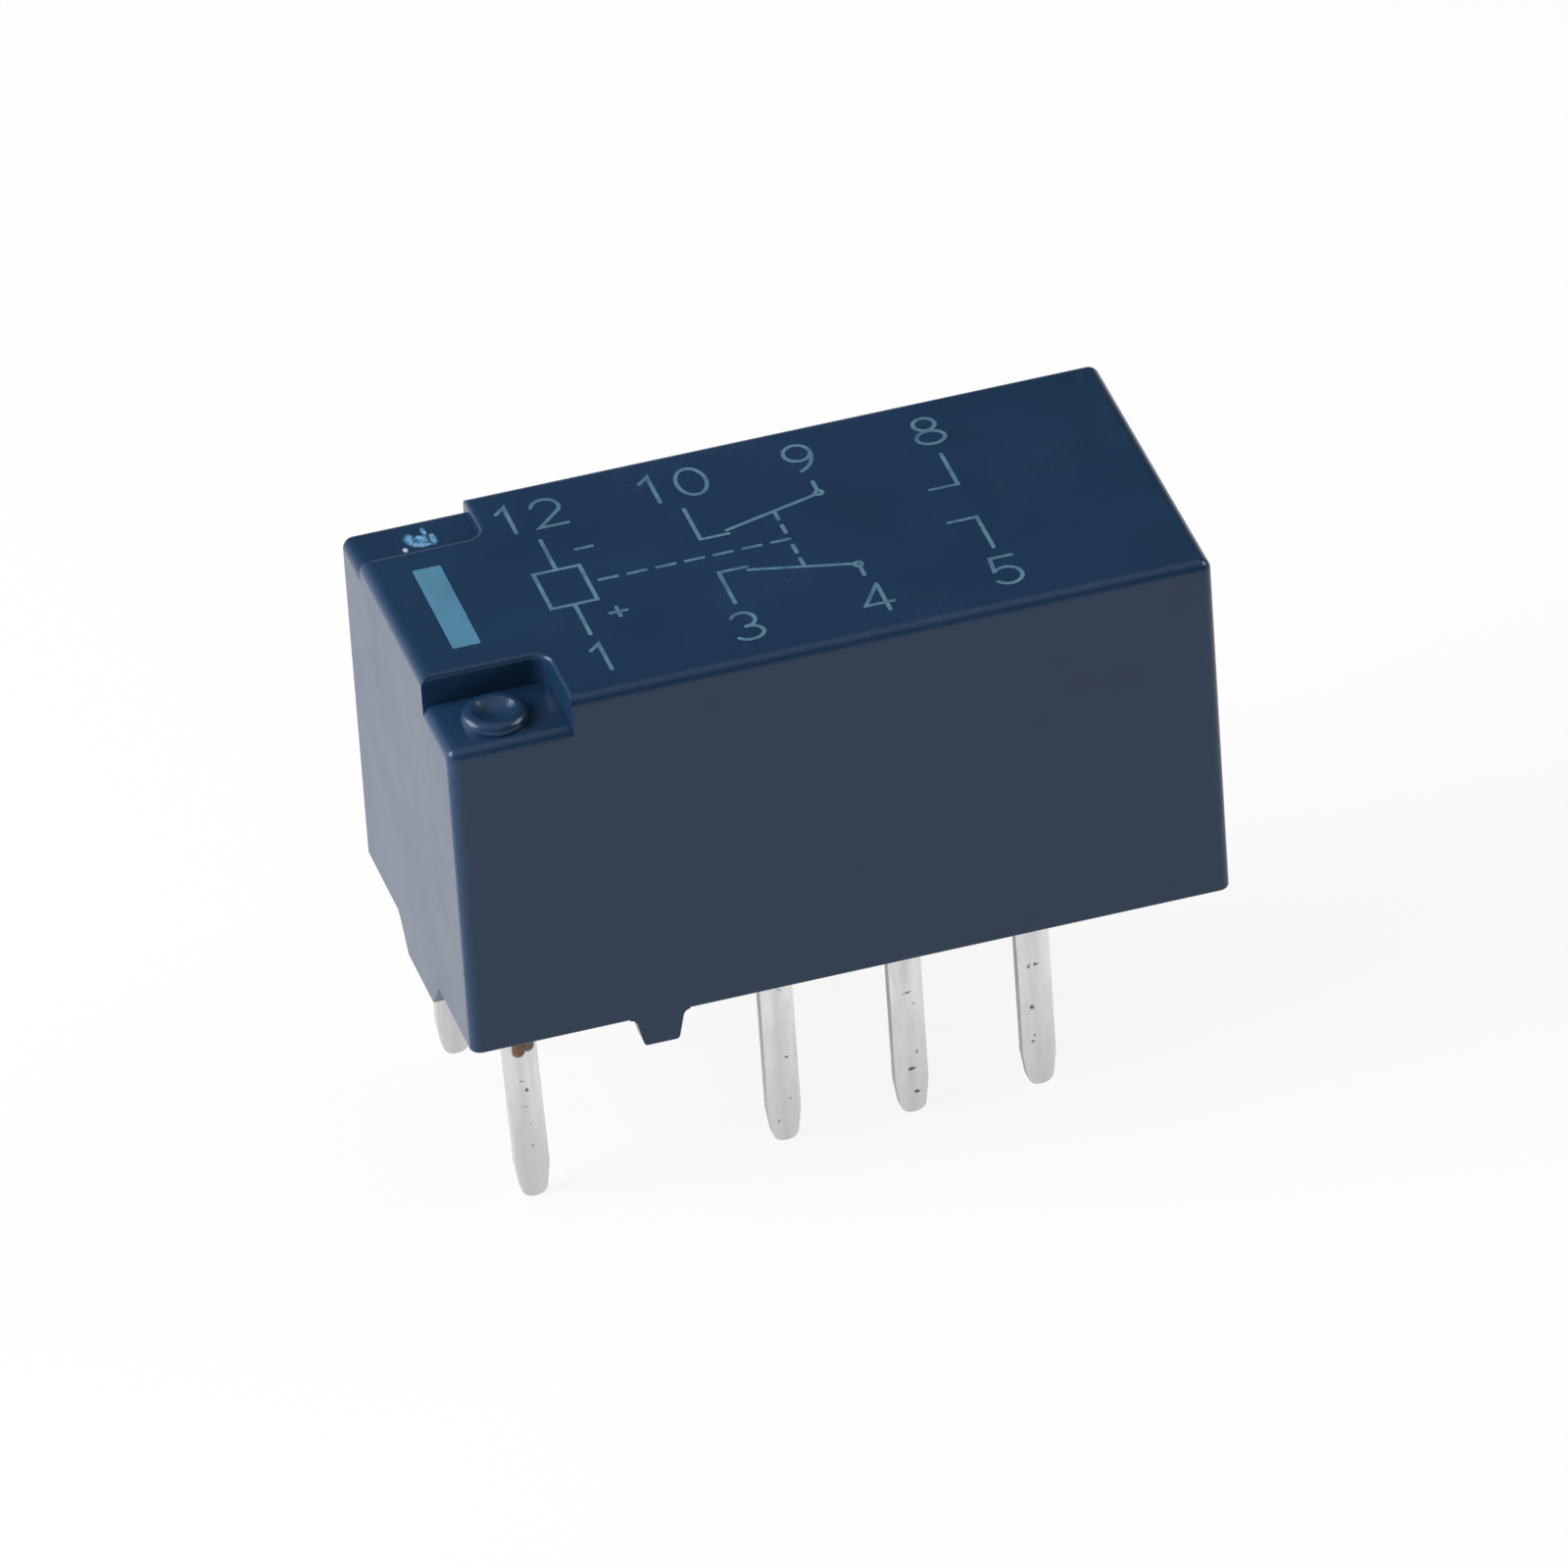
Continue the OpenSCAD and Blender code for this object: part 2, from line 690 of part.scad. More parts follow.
// Ring of points of a wire's skin round point p, which the wire passes in direction t
function wire_ring(p, t, sides) =
  let (side = cross(t, [0, 0, 1]) / norm(cross(t, [0, 0, 1])), up = cross(side, t) / norm(t))
  [for (k = [0 : sides - 1]) p + wire_d / 2 * (cos(360 * k / sides) * side + sin(360 * k / sides) * up)];

// Wire swept along a list of points
module swept_wire(route) {
  sides = wire_sides;
  last = len(route) - 1;
  rings = [
    for (i = [0 : last]) wire_ring(route[i], route[min(i + 1, last)] - route[max(i - 1, 0)], sides)
  ];
  points = [for (ring = rings) each ring];
  skin = [
    for (i = [0 : last - 1], k = [0 : sides - 1])
      [i * sides + k, i * sides + (k + 1) % sides, (i + 1) * sides + (k + 1) % sides, (i + 1) * sides + k]
  ];
  first_cap = [for (k = [0 : sides - 1]) sides - 1 - k];
  last_cap = [for (k = [0 : sides - 1]) last * sides + k];
  polyhedron(points, concat([first_cap], skin, [last_cap]), convexity = 6);
}

// Lead wire at the rear: out through its slot in the bobbin, over to the winding post and round it
module lead_wire() {
  post_r = norm([post_w, blade_t]) / 2 + wire_d / 2;
  slot_z = magnet_z - lead_slot_d + wire_d;
  start_z = end_block_z + wire_d;
  flange_x = pivot_x - winding_l / 2;
  coils = [
    for (k = [0 : wire_steps * post_turns])
      [
        coil_pin_x + post_r * cos(360 * k / wire_steps),
        row_y + post_r * sin(360 * k / wire_steps),
        start_z + turn_climb * k / wire_steps
      ]
  ];
  lead = [
    [flange_x + wire_d / 2, slot_y, slot_z],
    [flange_x - flange_t, slot_y, slot_z],
    [flange_x - flange_t - 2 * wire_d, slot_y, slot_z],
    [flange_x - flange_t - core_t, slot_y + wire_d, (slot_z + start_z) / 2],
    [coil_pin_x + post_r + wire_d / 2, row_y - lead_bow, start_z]
  ];
  color("#c46a32")
    swept_wire(concat(lead, coils));
}

module magnet() {
  color("#4b4d50")
    translate([pivot_x, 0, magnet_z + magnet_t / 2])
      cube([magnet_l, magnet_w, magnet_t], center = true);
}

// Sets the armature's pieces, drawn level about the pivot, at the released end of their swing
module released() {
  translate([pivot_x, 0, pivot_z])
    rotate([0, -half_swing, 0])
      children();
}

module armature_plate() {
  linear_extrude(armature_t)
    rounded_rect(core_l, armature_w, armature_corner_r);
}

module armature() {
  color("#8d9094")
    released() {
      armature_plate();
      rotate([90, 0, 0])
        cylinder(h = armature_w, r = fulcrum_r, center = true);
    }
}

// Flat contact spring along +Y: a strip with twin tips at both ends and a hinge arm on the pivot's axis
module spring_strip() {
  translate([0, spring_y, 0])
    linear_extrude(spring_t, center = true)
      difference() {
        rounded_rect(spring_l, spring_w, spring_corner_r);
        for (side = [-1, 1])
          translate([side * (spring_l - tip_slot_l + fuse) / 2, 0])
            square([tip_slot_l + fuse, tip_slot_w], center = true);
      }
  span_box([-hinge_arm_w / 2, spring_y, -spring_t / 2],
           [hinge_arm_w / 2, row_y + blade_t / 2, spring_t / 2]);
}

// Moulding that ties the armature plate and the two contact springs together
module armature_moulding() {
  sprue_ball_r = (pow(sprue_d / 2, 2) + pow(sprue_h, 2)) / (2 * sprue_h);
  color("#d9d3c0")
    released()
      difference() {
        translate([0, 0, -spring_t / 2 - cheek_drop])
          linear_extrude(armature_t + block_cover + spring_t / 2 + cheek_drop)
            rounded_rect(block_l, block_w, block_corner_r);
        span_box([-block_l, -cheek_y, -fulcrum_r - over], [block_l, cheek_y, 0]);
        armature_plate();
        for (row = [0, 1])
          mirror([0, row, 0])
            spring_strip();
        translate([0, 0, armature_t + block_cover - sprue_h + sprue_ball_r])
          sphere(sprue_ball_r);
      }
}

module contact_spring(row) {
  color("#c9a25a")
    released()
      mirror([0, row == FRONT ? 1 : 0, 0])
        spring_strip();
}

// Twin contacts welded under one end of a contact spring
module moving_contacts(side, row) {
  color("#e2e3e4")
    released()
      for (tip = [-1, 1])
        translate([side * contact_arm, row * spring_y + tip * moving_y, -spring_t / 2 - moving_h])
          cylinder(h = moving_h, d = moving_d);
}

module tinned() {
  color("#d2d2d2")
    children();
}

case();
sealing_resin();
base();
tinned() coil_terminal(FRONT, pin_1_lean);  // coil_terminal_1
tinned() coil_terminal(REAR);  // coil_terminal_12
tinned() fixed_terminal(break_pin_x, -1, FRONT);  // fixed_terminal_3
tinned() fixed_terminal(make_pin_x, 1, FRONT);  // fixed_terminal_5
tinned() fixed_terminal(make_pin_x, 1, REAR);  // fixed_terminal_8
tinned() fixed_terminal(break_pin_x, -1, REAR);  // fixed_terminal_10
tinned() common_terminal(FRONT);  // common_terminal_4
tinned() common_terminal(REAR);  // common_terminal_9
fixed_contact(-1, FRONT);  // fixed_contact_3
fixed_contact(1, FRONT);  // fixed_contact_5
fixed_contact(1, REAR);  // fixed_contact_8
fixed_contact(-1, REAR);  // fixed_contact_10
core();
bobbin();
coil_winding();
mirror([0, 1, 0]) lead_wire();  // lead_wire_1
lead_wire();  // lead_wire_12
magnet();
armature();
armature_moulding();
contact_spring(FRONT);  // contact_spring_front
contact_spring(REAR);  // contact_spring_rear
moving_contacts(-1, FRONT);  // moving_contacts_3
moving_contacts(1, FRONT);  // moving_contacts_5
moving_contacts(1, REAR);  // moving_contacts_8
moving_contacts(-1, REAR);  // moving_contacts_10
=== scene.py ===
"""Looks of a board-mounted signal relay: its finishes, its marks, the studio and the camera."""

import logging
import math
from dataclasses import dataclass, field
from enum import Enum
from functools import cached_property
from typing import Sequence

import bmesh
import bpy
from mathutils import Matrix, Vector


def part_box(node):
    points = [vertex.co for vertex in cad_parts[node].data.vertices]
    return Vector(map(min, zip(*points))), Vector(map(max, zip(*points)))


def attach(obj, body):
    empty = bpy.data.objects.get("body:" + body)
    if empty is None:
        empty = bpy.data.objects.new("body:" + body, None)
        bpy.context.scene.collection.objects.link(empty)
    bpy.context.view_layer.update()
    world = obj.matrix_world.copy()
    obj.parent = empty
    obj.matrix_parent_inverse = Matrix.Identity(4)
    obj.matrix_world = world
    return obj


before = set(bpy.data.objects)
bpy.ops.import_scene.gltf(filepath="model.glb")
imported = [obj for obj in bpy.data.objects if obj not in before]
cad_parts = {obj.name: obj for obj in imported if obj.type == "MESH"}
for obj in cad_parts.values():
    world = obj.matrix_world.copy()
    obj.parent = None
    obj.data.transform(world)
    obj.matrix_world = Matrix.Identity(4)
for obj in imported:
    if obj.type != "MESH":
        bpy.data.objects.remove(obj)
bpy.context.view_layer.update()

LOG = logging.getLogger("signal_relay")
MM = 0.001
PHOTO_PX = 1600
SENSOR_MM = 36.0
STILL_BODY = "relay_body"
NOISE_MIDDLE = 0.5
FULL_TURN = 360.0

Rgb = tuple[float, float, float]
Triple = tuple[float, float, float]
Point = tuple[float, float]
Dab = tuple[Point, Point]
Socket = bpy.types.NodeSocket
Node = bpy.types.Node
Tree = bpy.types.NodeTree
Material = bpy.types.Material
Value = float | Socket
Paint = Rgb | Socket


class Slot(Enum):
    """Material slots of the record."""

    CASE = "case_plastic"
    RESIN = "sealing_resin"
    BASE = "base_plastic"
    TIN = "tinned_copper"
    SILVER = "contact_silver"
    IRON = "soft_iron"
    MAGNET = "magnet_steel"
    BOBBIN = "bobbin_plastic"
    WIRE = "enamelled_copper"
    SPRING = "spring_copper"
    ARMATURE = "armature_plastic"


def screen(red: float, green: float, blue: float) -> Rgb:
    """Turn a screen colour into the linear one that shaders use.

    Args:
        red: Red from 0 to 255.
        green: Green from 0 to 255.
        blue: Blue from 0 to 255.

    Returns:
        The linear colour, each part from 0 to 1.
    """

    def linear(part: float) -> float:
        """Undo the screen's tone curve for one part."""
        share = part / 255
        return share / 12.92 if share <= 0.04045 else ((share + 0.055) / 1.055) ** 2.4

    return linear(red), linear(green), linear(blue)


def cleared_tree(owner: Material | bpy.types.World) -> Tree:
    """Switch the nodes of a material or a world on and take its first ones out.

    Args:
        owner: The material or world.

    Returns:
        Its empty tree.
    """
    owner.use_nodes = True
    owner.node_tree.nodes.clear()
    return owner.node_tree


class Wiring:
    """Adds nodes to a shader tree and links them."""

    mix_inputs = (0, 6, 7)
    mix_output = 2

    def __init__(self, tree: Tree) -> None:
        """Keep the tree that the nodes go into."""
        self.tree = tree

    def node(self, kind: str, *terms: object, **settings: object) -> Node:
        """Add a node.

        Args:
            kind: Blender's name for the node's type.
            *terms: What its first inputs get, linked or plain.
            **settings: Properties of the node.

        Returns:
            The new node.
        """
        made = self.tree.nodes.new(kind)
        for name, value in settings.items():
            setattr(made, name, value)
        for socket, term in zip(made.inputs, terms):
            self.feed(socket, term)
        return made

    def feed(self, socket: Socket, value: object) -> None:
        """Link a socket to its source, or set it to a number or colour.

        Args:
            socket: The input to feed.
            value: A socket, number, vector or colour. A colour gets an alpha of one.
        """
        if isinstance(value, Socket):
            self.tree.links.new(value, socket)
        elif socket.type == "RGBA":
            socket.default_value = (*value, 1.0)
        else:
            socket.default_value = value

    def feed_named(self, node: Node, **inputs: object) -> Node:
        """Feed inputs of a node by their names.

        Args:
            node: The node.
            **inputs: Its inputs, with underscores for spaces.

        Returns:
            The node.
        """
        for name, value in inputs.items():
            self.feed(node.inputs[name.replace("_", " ")], value)
        return node

    def place(self, group: Tree, **inputs: object) -> Node:
        """Place a node group and feed its inputs by their names."""
        return self.feed_named(self.node("ShaderNodeGroup", node_tree=group), **inputs)

    def math(self, operation: str, *terms: Value, clamp: bool = False) -> Socket:
        """Work out a number, kept between 0 and 1 where clamp is set."""
        return self.node("ShaderNodeMath", *terms, operation=operation, use_clamp=clamp).outputs[0]

    def weighed(self, *parts: tuple[Value, float]) -> Socket:
        """Add two numbers, each times its weight."""
        return self.math("ADD", *(self.math("MULTIPLY", value, weight) for value, weight in parts))

    def vector(self, operation: str, *terms: object, **inputs: object) -> Socket:
        """Work out a vector, or the number that a length or a dot product is."""
        made = self.feed_named(self.node("ShaderNodeVectorMath", *terms, operation=operation), **inputs)
        return made.outputs["Value" if operation in ("LENGTH", "DOT_PRODUCT") else "Vector"]

    def parts(self, vector: Socket) -> tuple[Socket, ...]:
        """Split a vector into its three numbers."""
        return tuple(self.node("ShaderNodeSeparateXYZ", vector).outputs)

    def noise(
        self, position: Socket, scale: Value, detail: float = 2.0, rough: float = 0.5, output: str = "Fac"
    ) -> Socket:
        """Put in a noise texture.

        Args:
            position: Where on the surface.
            scale: Cells for each unit of position.
            detail: How many finer layers are added.
            rough: How strong the finer layers are.
            output: Fac for one number, Color for three.

        Returns:
            The noise, from 0 to 1.
        """
        made = self.node("ShaderNodeTexNoise")
        self.feed_named(made, Vector=position, Scale=scale, Detail=detail, Roughness=rough)
        return made.outputs[output]

    def ramp(self, value: Value, start: Value, end: Value, low: Value = 0.0, high: Value = 1.0) -> Socket:
        """Go smoothly from one level to another as a value rises.

        Args:
            value: The value that rises.
            start: Where it leaves the low level.
            end: Where it reaches the high level.
            low: The level before start.
            high: The level after end.

        Returns:
            The level.
        """
        ends = (value, start, end, low, high)
        made = self.node("ShaderNodeMapRange", *ends, interpolation_type="SMOOTHSTEP", clamp=True)
        return made.outputs["Result"]

    def blend(self, share: Value, first: Paint, second: Paint) -> Socket:
        """Mix two colours.

        Args:
            share: Share of the second colour.
            first: The first colour.
            second: The second colour.

        Returns:
            The mixed colour.
        """
        made = self.node("ShaderNodeMix", data_type="RGBA")
        for k, value in zip(self.mix_inputs, (share, first, second)):
            self.feed(made.inputs[k], value)
        return made.outputs[self.mix_output]

    def millimetres(self) -> Socket:
        """Give the place on the surface in the part's own frame, in millimetres."""
        return self.vector("SCALE", self.node("ShaderNodeTexCoord").outputs["Object"], Scale=1 / MM)

    def facing(self) -> Socket:
        """Give the surface's normal in the part's own frame."""
        return self.node("ShaderNodeTexCoord").outputs["Normal"]


class SocketKind(Enum):
    """Kinds of socket that the node groups have."""

    NUMBER = "NodeSocketFloat"
    VECTOR = "NodeSocketVector"


@dataclass
class Groups:
    """Node groups for effects that more than one finish uses, each built once."""

    coarse_grain: float = 0.25
    fine_share: float = 0.7
    coarse_share: float = 0.3
    mottle_ends: Point = (0.1, 0.9)
    speck_size_waves: float = 2.5
    speck_edge_waves: float = 0.9
    speck_edge_stray: float = 2.4
    speck_core: float = 0.6
    wander_per_unit: float = 0.8
    streak_ends: Point = (0.28, 0.72)
    scuff_angles: Point = (0.5, 2.2)
    scuff_lines_per_unit: float = 7.0
    scuff_fields_per_unit: float = 0.45
    scuff_field_ends: Point = (0.56, 0.74)
    facing_ends: Point = (0.55, 0.85)

    def _start(
        self, name: str, vectors: Sequence[str], numbers: Sequence[str], outputs: Sequence[str]
    ) -> tuple[Wiring, dict[str, Socket], Node]:
        """Make an empty group with its sockets.

        Args:
            name: The group's name.
            vectors: Names of the inputs that are vectors.
            numbers: Names of the inputs that are numbers.
            outputs: Names of the outputs, which are all numbers.

        Returns:
            The wiring, the group's inputs by name and its output node.
        """
        tree = bpy.data.node_groups.new(name, "ShaderNodeTree")
        for labels, way, kind in (
            (vectors, "INPUT", SocketKind.VECTOR), (numbers, "INPUT", SocketKind.NUMBER),
            (outputs, "OUTPUT", SocketKind.NUMBER),
        ):
            for label in labels:
                tree.interface.new_socket(name=label, in_out=way, socket_type=kind.value)
        wiring = Wiring(tree)
        given = wiring.node("NodeGroupInput").outputs
        return wiring, {label: given[label] for label in (*vectors, *numbers)}, wiring.node("NodeGroupOutput")

    @cached_property
    def moulded_skin(self) -> Tree:
        """Fine grain of a mould's eroded steel, and the slow mottle of the plastic's flow.

        Returns:
            A group with Position, Grain Pitch and Mottle Pitch in, and Height and Mottle out.
        """
        wiring, given, out = self._start(
            "moulded_skin", ["Position"], ["Grain Pitch", "Mottle Pitch"], ["Height", "Mottle"]
        )
        where, grain_pitch = given["Position"], given["Grain Pitch"]
        grain = wiring.noise(where, wiring.math("DIVIDE", 1.0, grain_pitch), detail=3.0, rough=0.55)
        coarse = wiring.noise(where, wiring.math("DIVIDE", self.coarse_grain, grain_pitch))
        slow = wiring.noise(where, wiring.math("DIVIDE", 1.0, given["Mottle Pitch"]), detail=3.0, rough=0.6)
        height = wiring.weighed((grain, self.fine_share), (coarse, self.coarse_share))
        wiring.feed_named(out, Height=height, Mottle=wiring.ramp(slow, *self.mottle_ends))
        return wiring.tree

    @cached_property
    def specks(self) -> Tree:
        """Sparse ragged specks of dust, dirt or dents, one at most in each cell.

        Returns:
            A group with Position, Pitch, Share and Radius in, and Mask out.
        """
        wiring, given, out = self._start("specks", ["Position"], ["Pitch", "Share", "Radius"], ["Mask"])
        where, pitch, radius = given["Position"], given["Pitch"], given["Radius"]
        warp = wiring.noise(where, wiring.math("DIVIDE", self.speck_size_waves, pitch))
        edge_scale = wiring.math("DIVIDE", self.speck_edge_waves, radius)
        push = wiring.vector("SUBTRACT", wiring.noise(where, edge_scale, output="Color"), (NOISE_MIDDLE,) * 3)
        shift = wiring.vector("SCALE", push, Scale=wiring.math("MULTIPLY", radius, self.speck_edge_stray))
        cells = wiring.node("ShaderNodeTexVoronoi")
        moved = wiring.vector("ADD", where, shift)
        wiring.feed_named(cells, Vector=moved, Scale=wiring.math("DIVIDE", 1.0, pitch))
        drawn = wiring.node("ShaderNodeSeparateColor", cells.outputs["Color"]).outputs
        chosen = wiring.math("LESS_THAN", drawn[0], given["Share"])
        size = wiring.math("MULTIPLY", radius, wiring.math("ADD", drawn[1], warp))
        reach = wiring.math("DIVIDE", size, pitch)
        core = wiring.math("MULTIPLY", reach, self.speck_core)
        spot = wiring.ramp(cells.outputs["Distance"], core, reach, 1.0, 0.0)
        wiring.feed_named(out, Mask=wiring.math("MULTIPLY", spot, chosen))
        return wiring.tree

    @cached_property
    def streaks(self) -> Tree:
        """Lines drawn out along one way, as rolling or grinding leaves them.

        Returns:
            A group with Position, Lines Per Unit and Warp in, and Streak out.
        """
        wiring, given, out = self._start("streaks", ["Position", "Lines Per Unit"], ["Warp"], ["Streak"])
        drawn = wiring.vector("MULTIPLY", given["Position"], given["Lines Per Unit"])
        bends = wiring.noise(given["Position"], self.wander_per_unit, detail=1.0)
        moved = wiring.vector("ADD", drawn, wiring.math("MULTIPLY", bends, given["Warp"]))
        fine = wiring.noise(moved, 1.0, detail=4.0, rough=0.65)
        wiring.feed_named(out, Streak=wiring.ramp(fine, *self.streak_ends))
        return wiring.tree

    @cached_property
    def scuffs(self) -> Tree:
        """Hairline scratches in two ways on level faces, gathered in a few places.

        Returns:
            A group with Position, Normal, Length and Width in, and Mask out.
        """
        wiring, given, out = self._start("scuffs", ["Position", "Normal"], ["Length", "Width"], ["Mask"])
        masks = []
        for angle in self.scuff_angles:
            turned = wiring.node("ShaderNodeVectorRotate", given["Position"], rotation_type="Z_AXIS")
            wiring.feed_named(turned, Angle=angle)
            along, across, _ = wiring.parts(turned.outputs[0])
            along = wiring.math("DIVIDE", along, given["Length"])
            across = wiring.math("MULTIPLY", across, self.scuff_lines_per_unit)
            drawn = wiring.node("ShaderNodeCombineXYZ", along, across).outputs[0]
            off_line = wiring.math("SUBTRACT", wiring.noise(drawn, 1.0), NOISE_MIDDLE)
            masks.append(wiring.ramp(wiring.math("ABSOLUTE", off_line), 0.0, given["Width"], 1.0, 0.0))
        fields = wiring.noise(given["Position"], self.scuff_fields_per_unit)
        lines = wiring.math(
            "MULTIPLY", wiring.math("MAXIMUM", *masks), wiring.ramp(fields, *self.scuff_field_ends)
        )
        level = wiring.place(self.turned_to, Normal=given["Normal"], Axis=(0.0, 0.0, 1.0)).outputs["Mask"]
        wiring.feed_named(out, Mask=wiring.math("MULTIPLY", lines, level))
        return wiring.tree

    @cached_property
    def turned_to(self) -> Tree:
        """Faces whose normal points along an axis either way, such as a sheared edge.

        Returns:
            A group with Normal and Axis in, and Mask out.
        """
        wiring, given, out = self._start("turned_to", ["Normal", "Axis"], [], ["Mask"])
        along = wiring.vector("DOT_PRODUCT", given["Normal"], given["Axis"])
        wiring.feed_named(out, Mask=wiring.ramp(wiring.math("ABSOLUTE", along), *self.facing_ends))
        return wiring.tree


GROUPS = Groups()


class Surface(Wiring):
    """The nodes of a new material, with its main shader and the place on the surface."""

    def __init__(self, name: str) -> None:
        """Make the material with its main shader.

        Args:
            name: The material's name.
        """
        self.material = bpy.data.materials.new(name)
        super().__init__(cleared_tree(self.material))
        self.shader = self.node("ShaderNodeBsdfPrincipled")
        self.node("ShaderNodeOutputMaterial", self.shader.outputs[0])
        self.where = self.millimetres()

    def paint(self, **inputs: object) -> None:
        """Feed the main shader's inputs, with underscores for spaces."""
        self.feed_named(self.shader, **inputs)

    def specks(self, where: Socket, pitch: float, share: float, radius: float) -> Socket:
        """Scatter specks, one at most in each cell of the pitch, and give their mask."""
        made = self.place(GROUPS.specks, Position=where, Pitch=pitch, Share=share, Radius=radius)
        return made.outputs["Mask"]

    def raise_by(self, height: Value, depth_mm: float) -> None:
        """Raise the surface by a height map, by that depth where the map is one."""
        made = self.feed_named(self.node("ShaderNodeBump"), Distance=depth_mm * MM, Height=height)
        self.paint(Normal=made.outputs["Normal"])


class Finish:
    """A finish, which is wired into a material of its own."""

    def wire(self, surface: Surface) -> None:
        """Wire the finish, in the way of its kind."""
        raise NotImplementedError

    def material(self, name: str) -> Material:
        """Build a material with the finish.

        Args:
            name: The material's name.

        Returns:
            The material.
        """
        surface = Surface(name)
        self.wire(surface)
        return surface.material


@dataclass(frozen=True)
class MouldedPlastic(Finish):
    """Plastic as it leaves a mould with a fine eroded grain."""

    colour: Rgb
    flow_colour: Rgb
    roughness: float
    reflection: float
    roughness_spread: float = 0.03
    grain_mm: float = 0.1
    grain_depth_mm: float = 0.0004
    mottle_mm: float = 2.5
    scuff_mm: float = 2.6
    scuff_width: float = 0.03
    scuff_share: float = 0.035
    scuff_dip: float = 2.0
    scuff_colour: Rgb = screen(150, 160, 175)
    dust_pitch_mm: float = 0.5
    dust_share: float = 0.006
    dust_mm: float = 0.03
    dust_cover: float = 0.6
    dust_matt: float = 0.1
    dust_colour: Rgb = screen(175, 178, 184)

    def wire(self, surface: Surface) -> None:
        """Wire the grain, the mottle, the scuffs and the dust.

        Args:
            surface: The material's nodes.
        """
        where = surface.where
        skin = surface.place(
            GROUPS.moulded_skin, Position=where, Grain_Pitch=self.grain_mm, Mottle_Pitch=self.mottle_mm
        ).outputs
        dust = surface.specks(where, self.dust_pitch_mm, self.dust_share, self.dust_mm)
        scuffs = surface.place(
            GROUPS.scuffs, Position=where, Normal=surface.facing(),
            Length=self.scuff_mm, Width=self.scuff_width,
        ).outputs["Mask"]
        pale = surface.math("MULTIPLY", scuffs, self.scuff_share)
        colour = surface.blend(skin["Mottle"], self.colour, self.flow_colour)
        colour = surface.blend(pale, colour, self.scuff_colour)
        colour = surface.blend(surface.math("MULTIPLY", dust, self.dust_cover), colour, self.dust_colour)
        low, high = self.roughness - self.roughness_spread, self.roughness + self.roughness_spread
        rough = surface.ramp(skin["Mottle"], 0.0, 1.0, low, high)
        rough = surface.math("ADD", rough, surface.math("MULTIPLY", dust, self.dust_matt), clamp=True)
        surface.paint(Base_Color=colour, Roughness=rough, Specular_IOR_Level=self.reflection)
        dips = surface.math("MULTIPLY", pale, self.scuff_dip)
        surface.raise_by(surface.math("SUBTRACT", skin["Height"], dips), self.grain_depth_mm)


@dataclass(frozen=True)
class CastResin(Finish):
    """Epoxy poured in to seal the underside: glossy, cloudy, with a few bubbles."""

    colour: Rgb = screen(92, 66, 48)
    cloud_colour: Rgb = screen(128, 92, 56)
    clouds_per_mm: float = 0.9
    cloud_ends: Point = (0.3, 0.7)
    bubble_pitch_mm: float = 0.7
    bubble_share: float = 0.3
    bubble_mm: float = 0.09
    bubble_cover: float = 0.5
    bubble_dip: float = 0.3
    bubble_colour: Rgb = screen(66, 40, 24)
    gloss_ends: Point = (0.2, 0.8)
    roughness: Point = (0.16, 0.34)
    swells_per_mm: float = 0.6
    swell_depth_mm: float = 0.03

    def wire(self, surface: Surface) -> None:
        """Wire the clouds and the bubbles.

        Args:
            surface: The material's nodes.
        """
        where = surface.where
        cloud = surface.noise(where, self.clouds_per_mm, detail=4.0, rough=0.6)
        bubbles = surface.specks(where, self.bubble_pitch_mm, self.bubble_share, self.bubble_mm)
        colour = surface.blend(surface.ramp(cloud, *self.cloud_ends), self.colour, self.cloud_colour)
        cover = surface.math("MULTIPLY", bubbles, self.bubble_cover)
        surface.paint(
            Base_Color=surface.blend(cover, colour, self.bubble_colour),
            Roughness=surface.ramp(cloud, *self.gloss_ends, *self.roughness),
        )
        swell = surface.noise(where, self.swells_per_mm, detail=1.0)
        dips = surface.math("MULTIPLY", bubbles, self.bubble_dip)
        surface.raise_by(surface.math("SUBTRACT", swell, dips), self.swell_depth_mm)


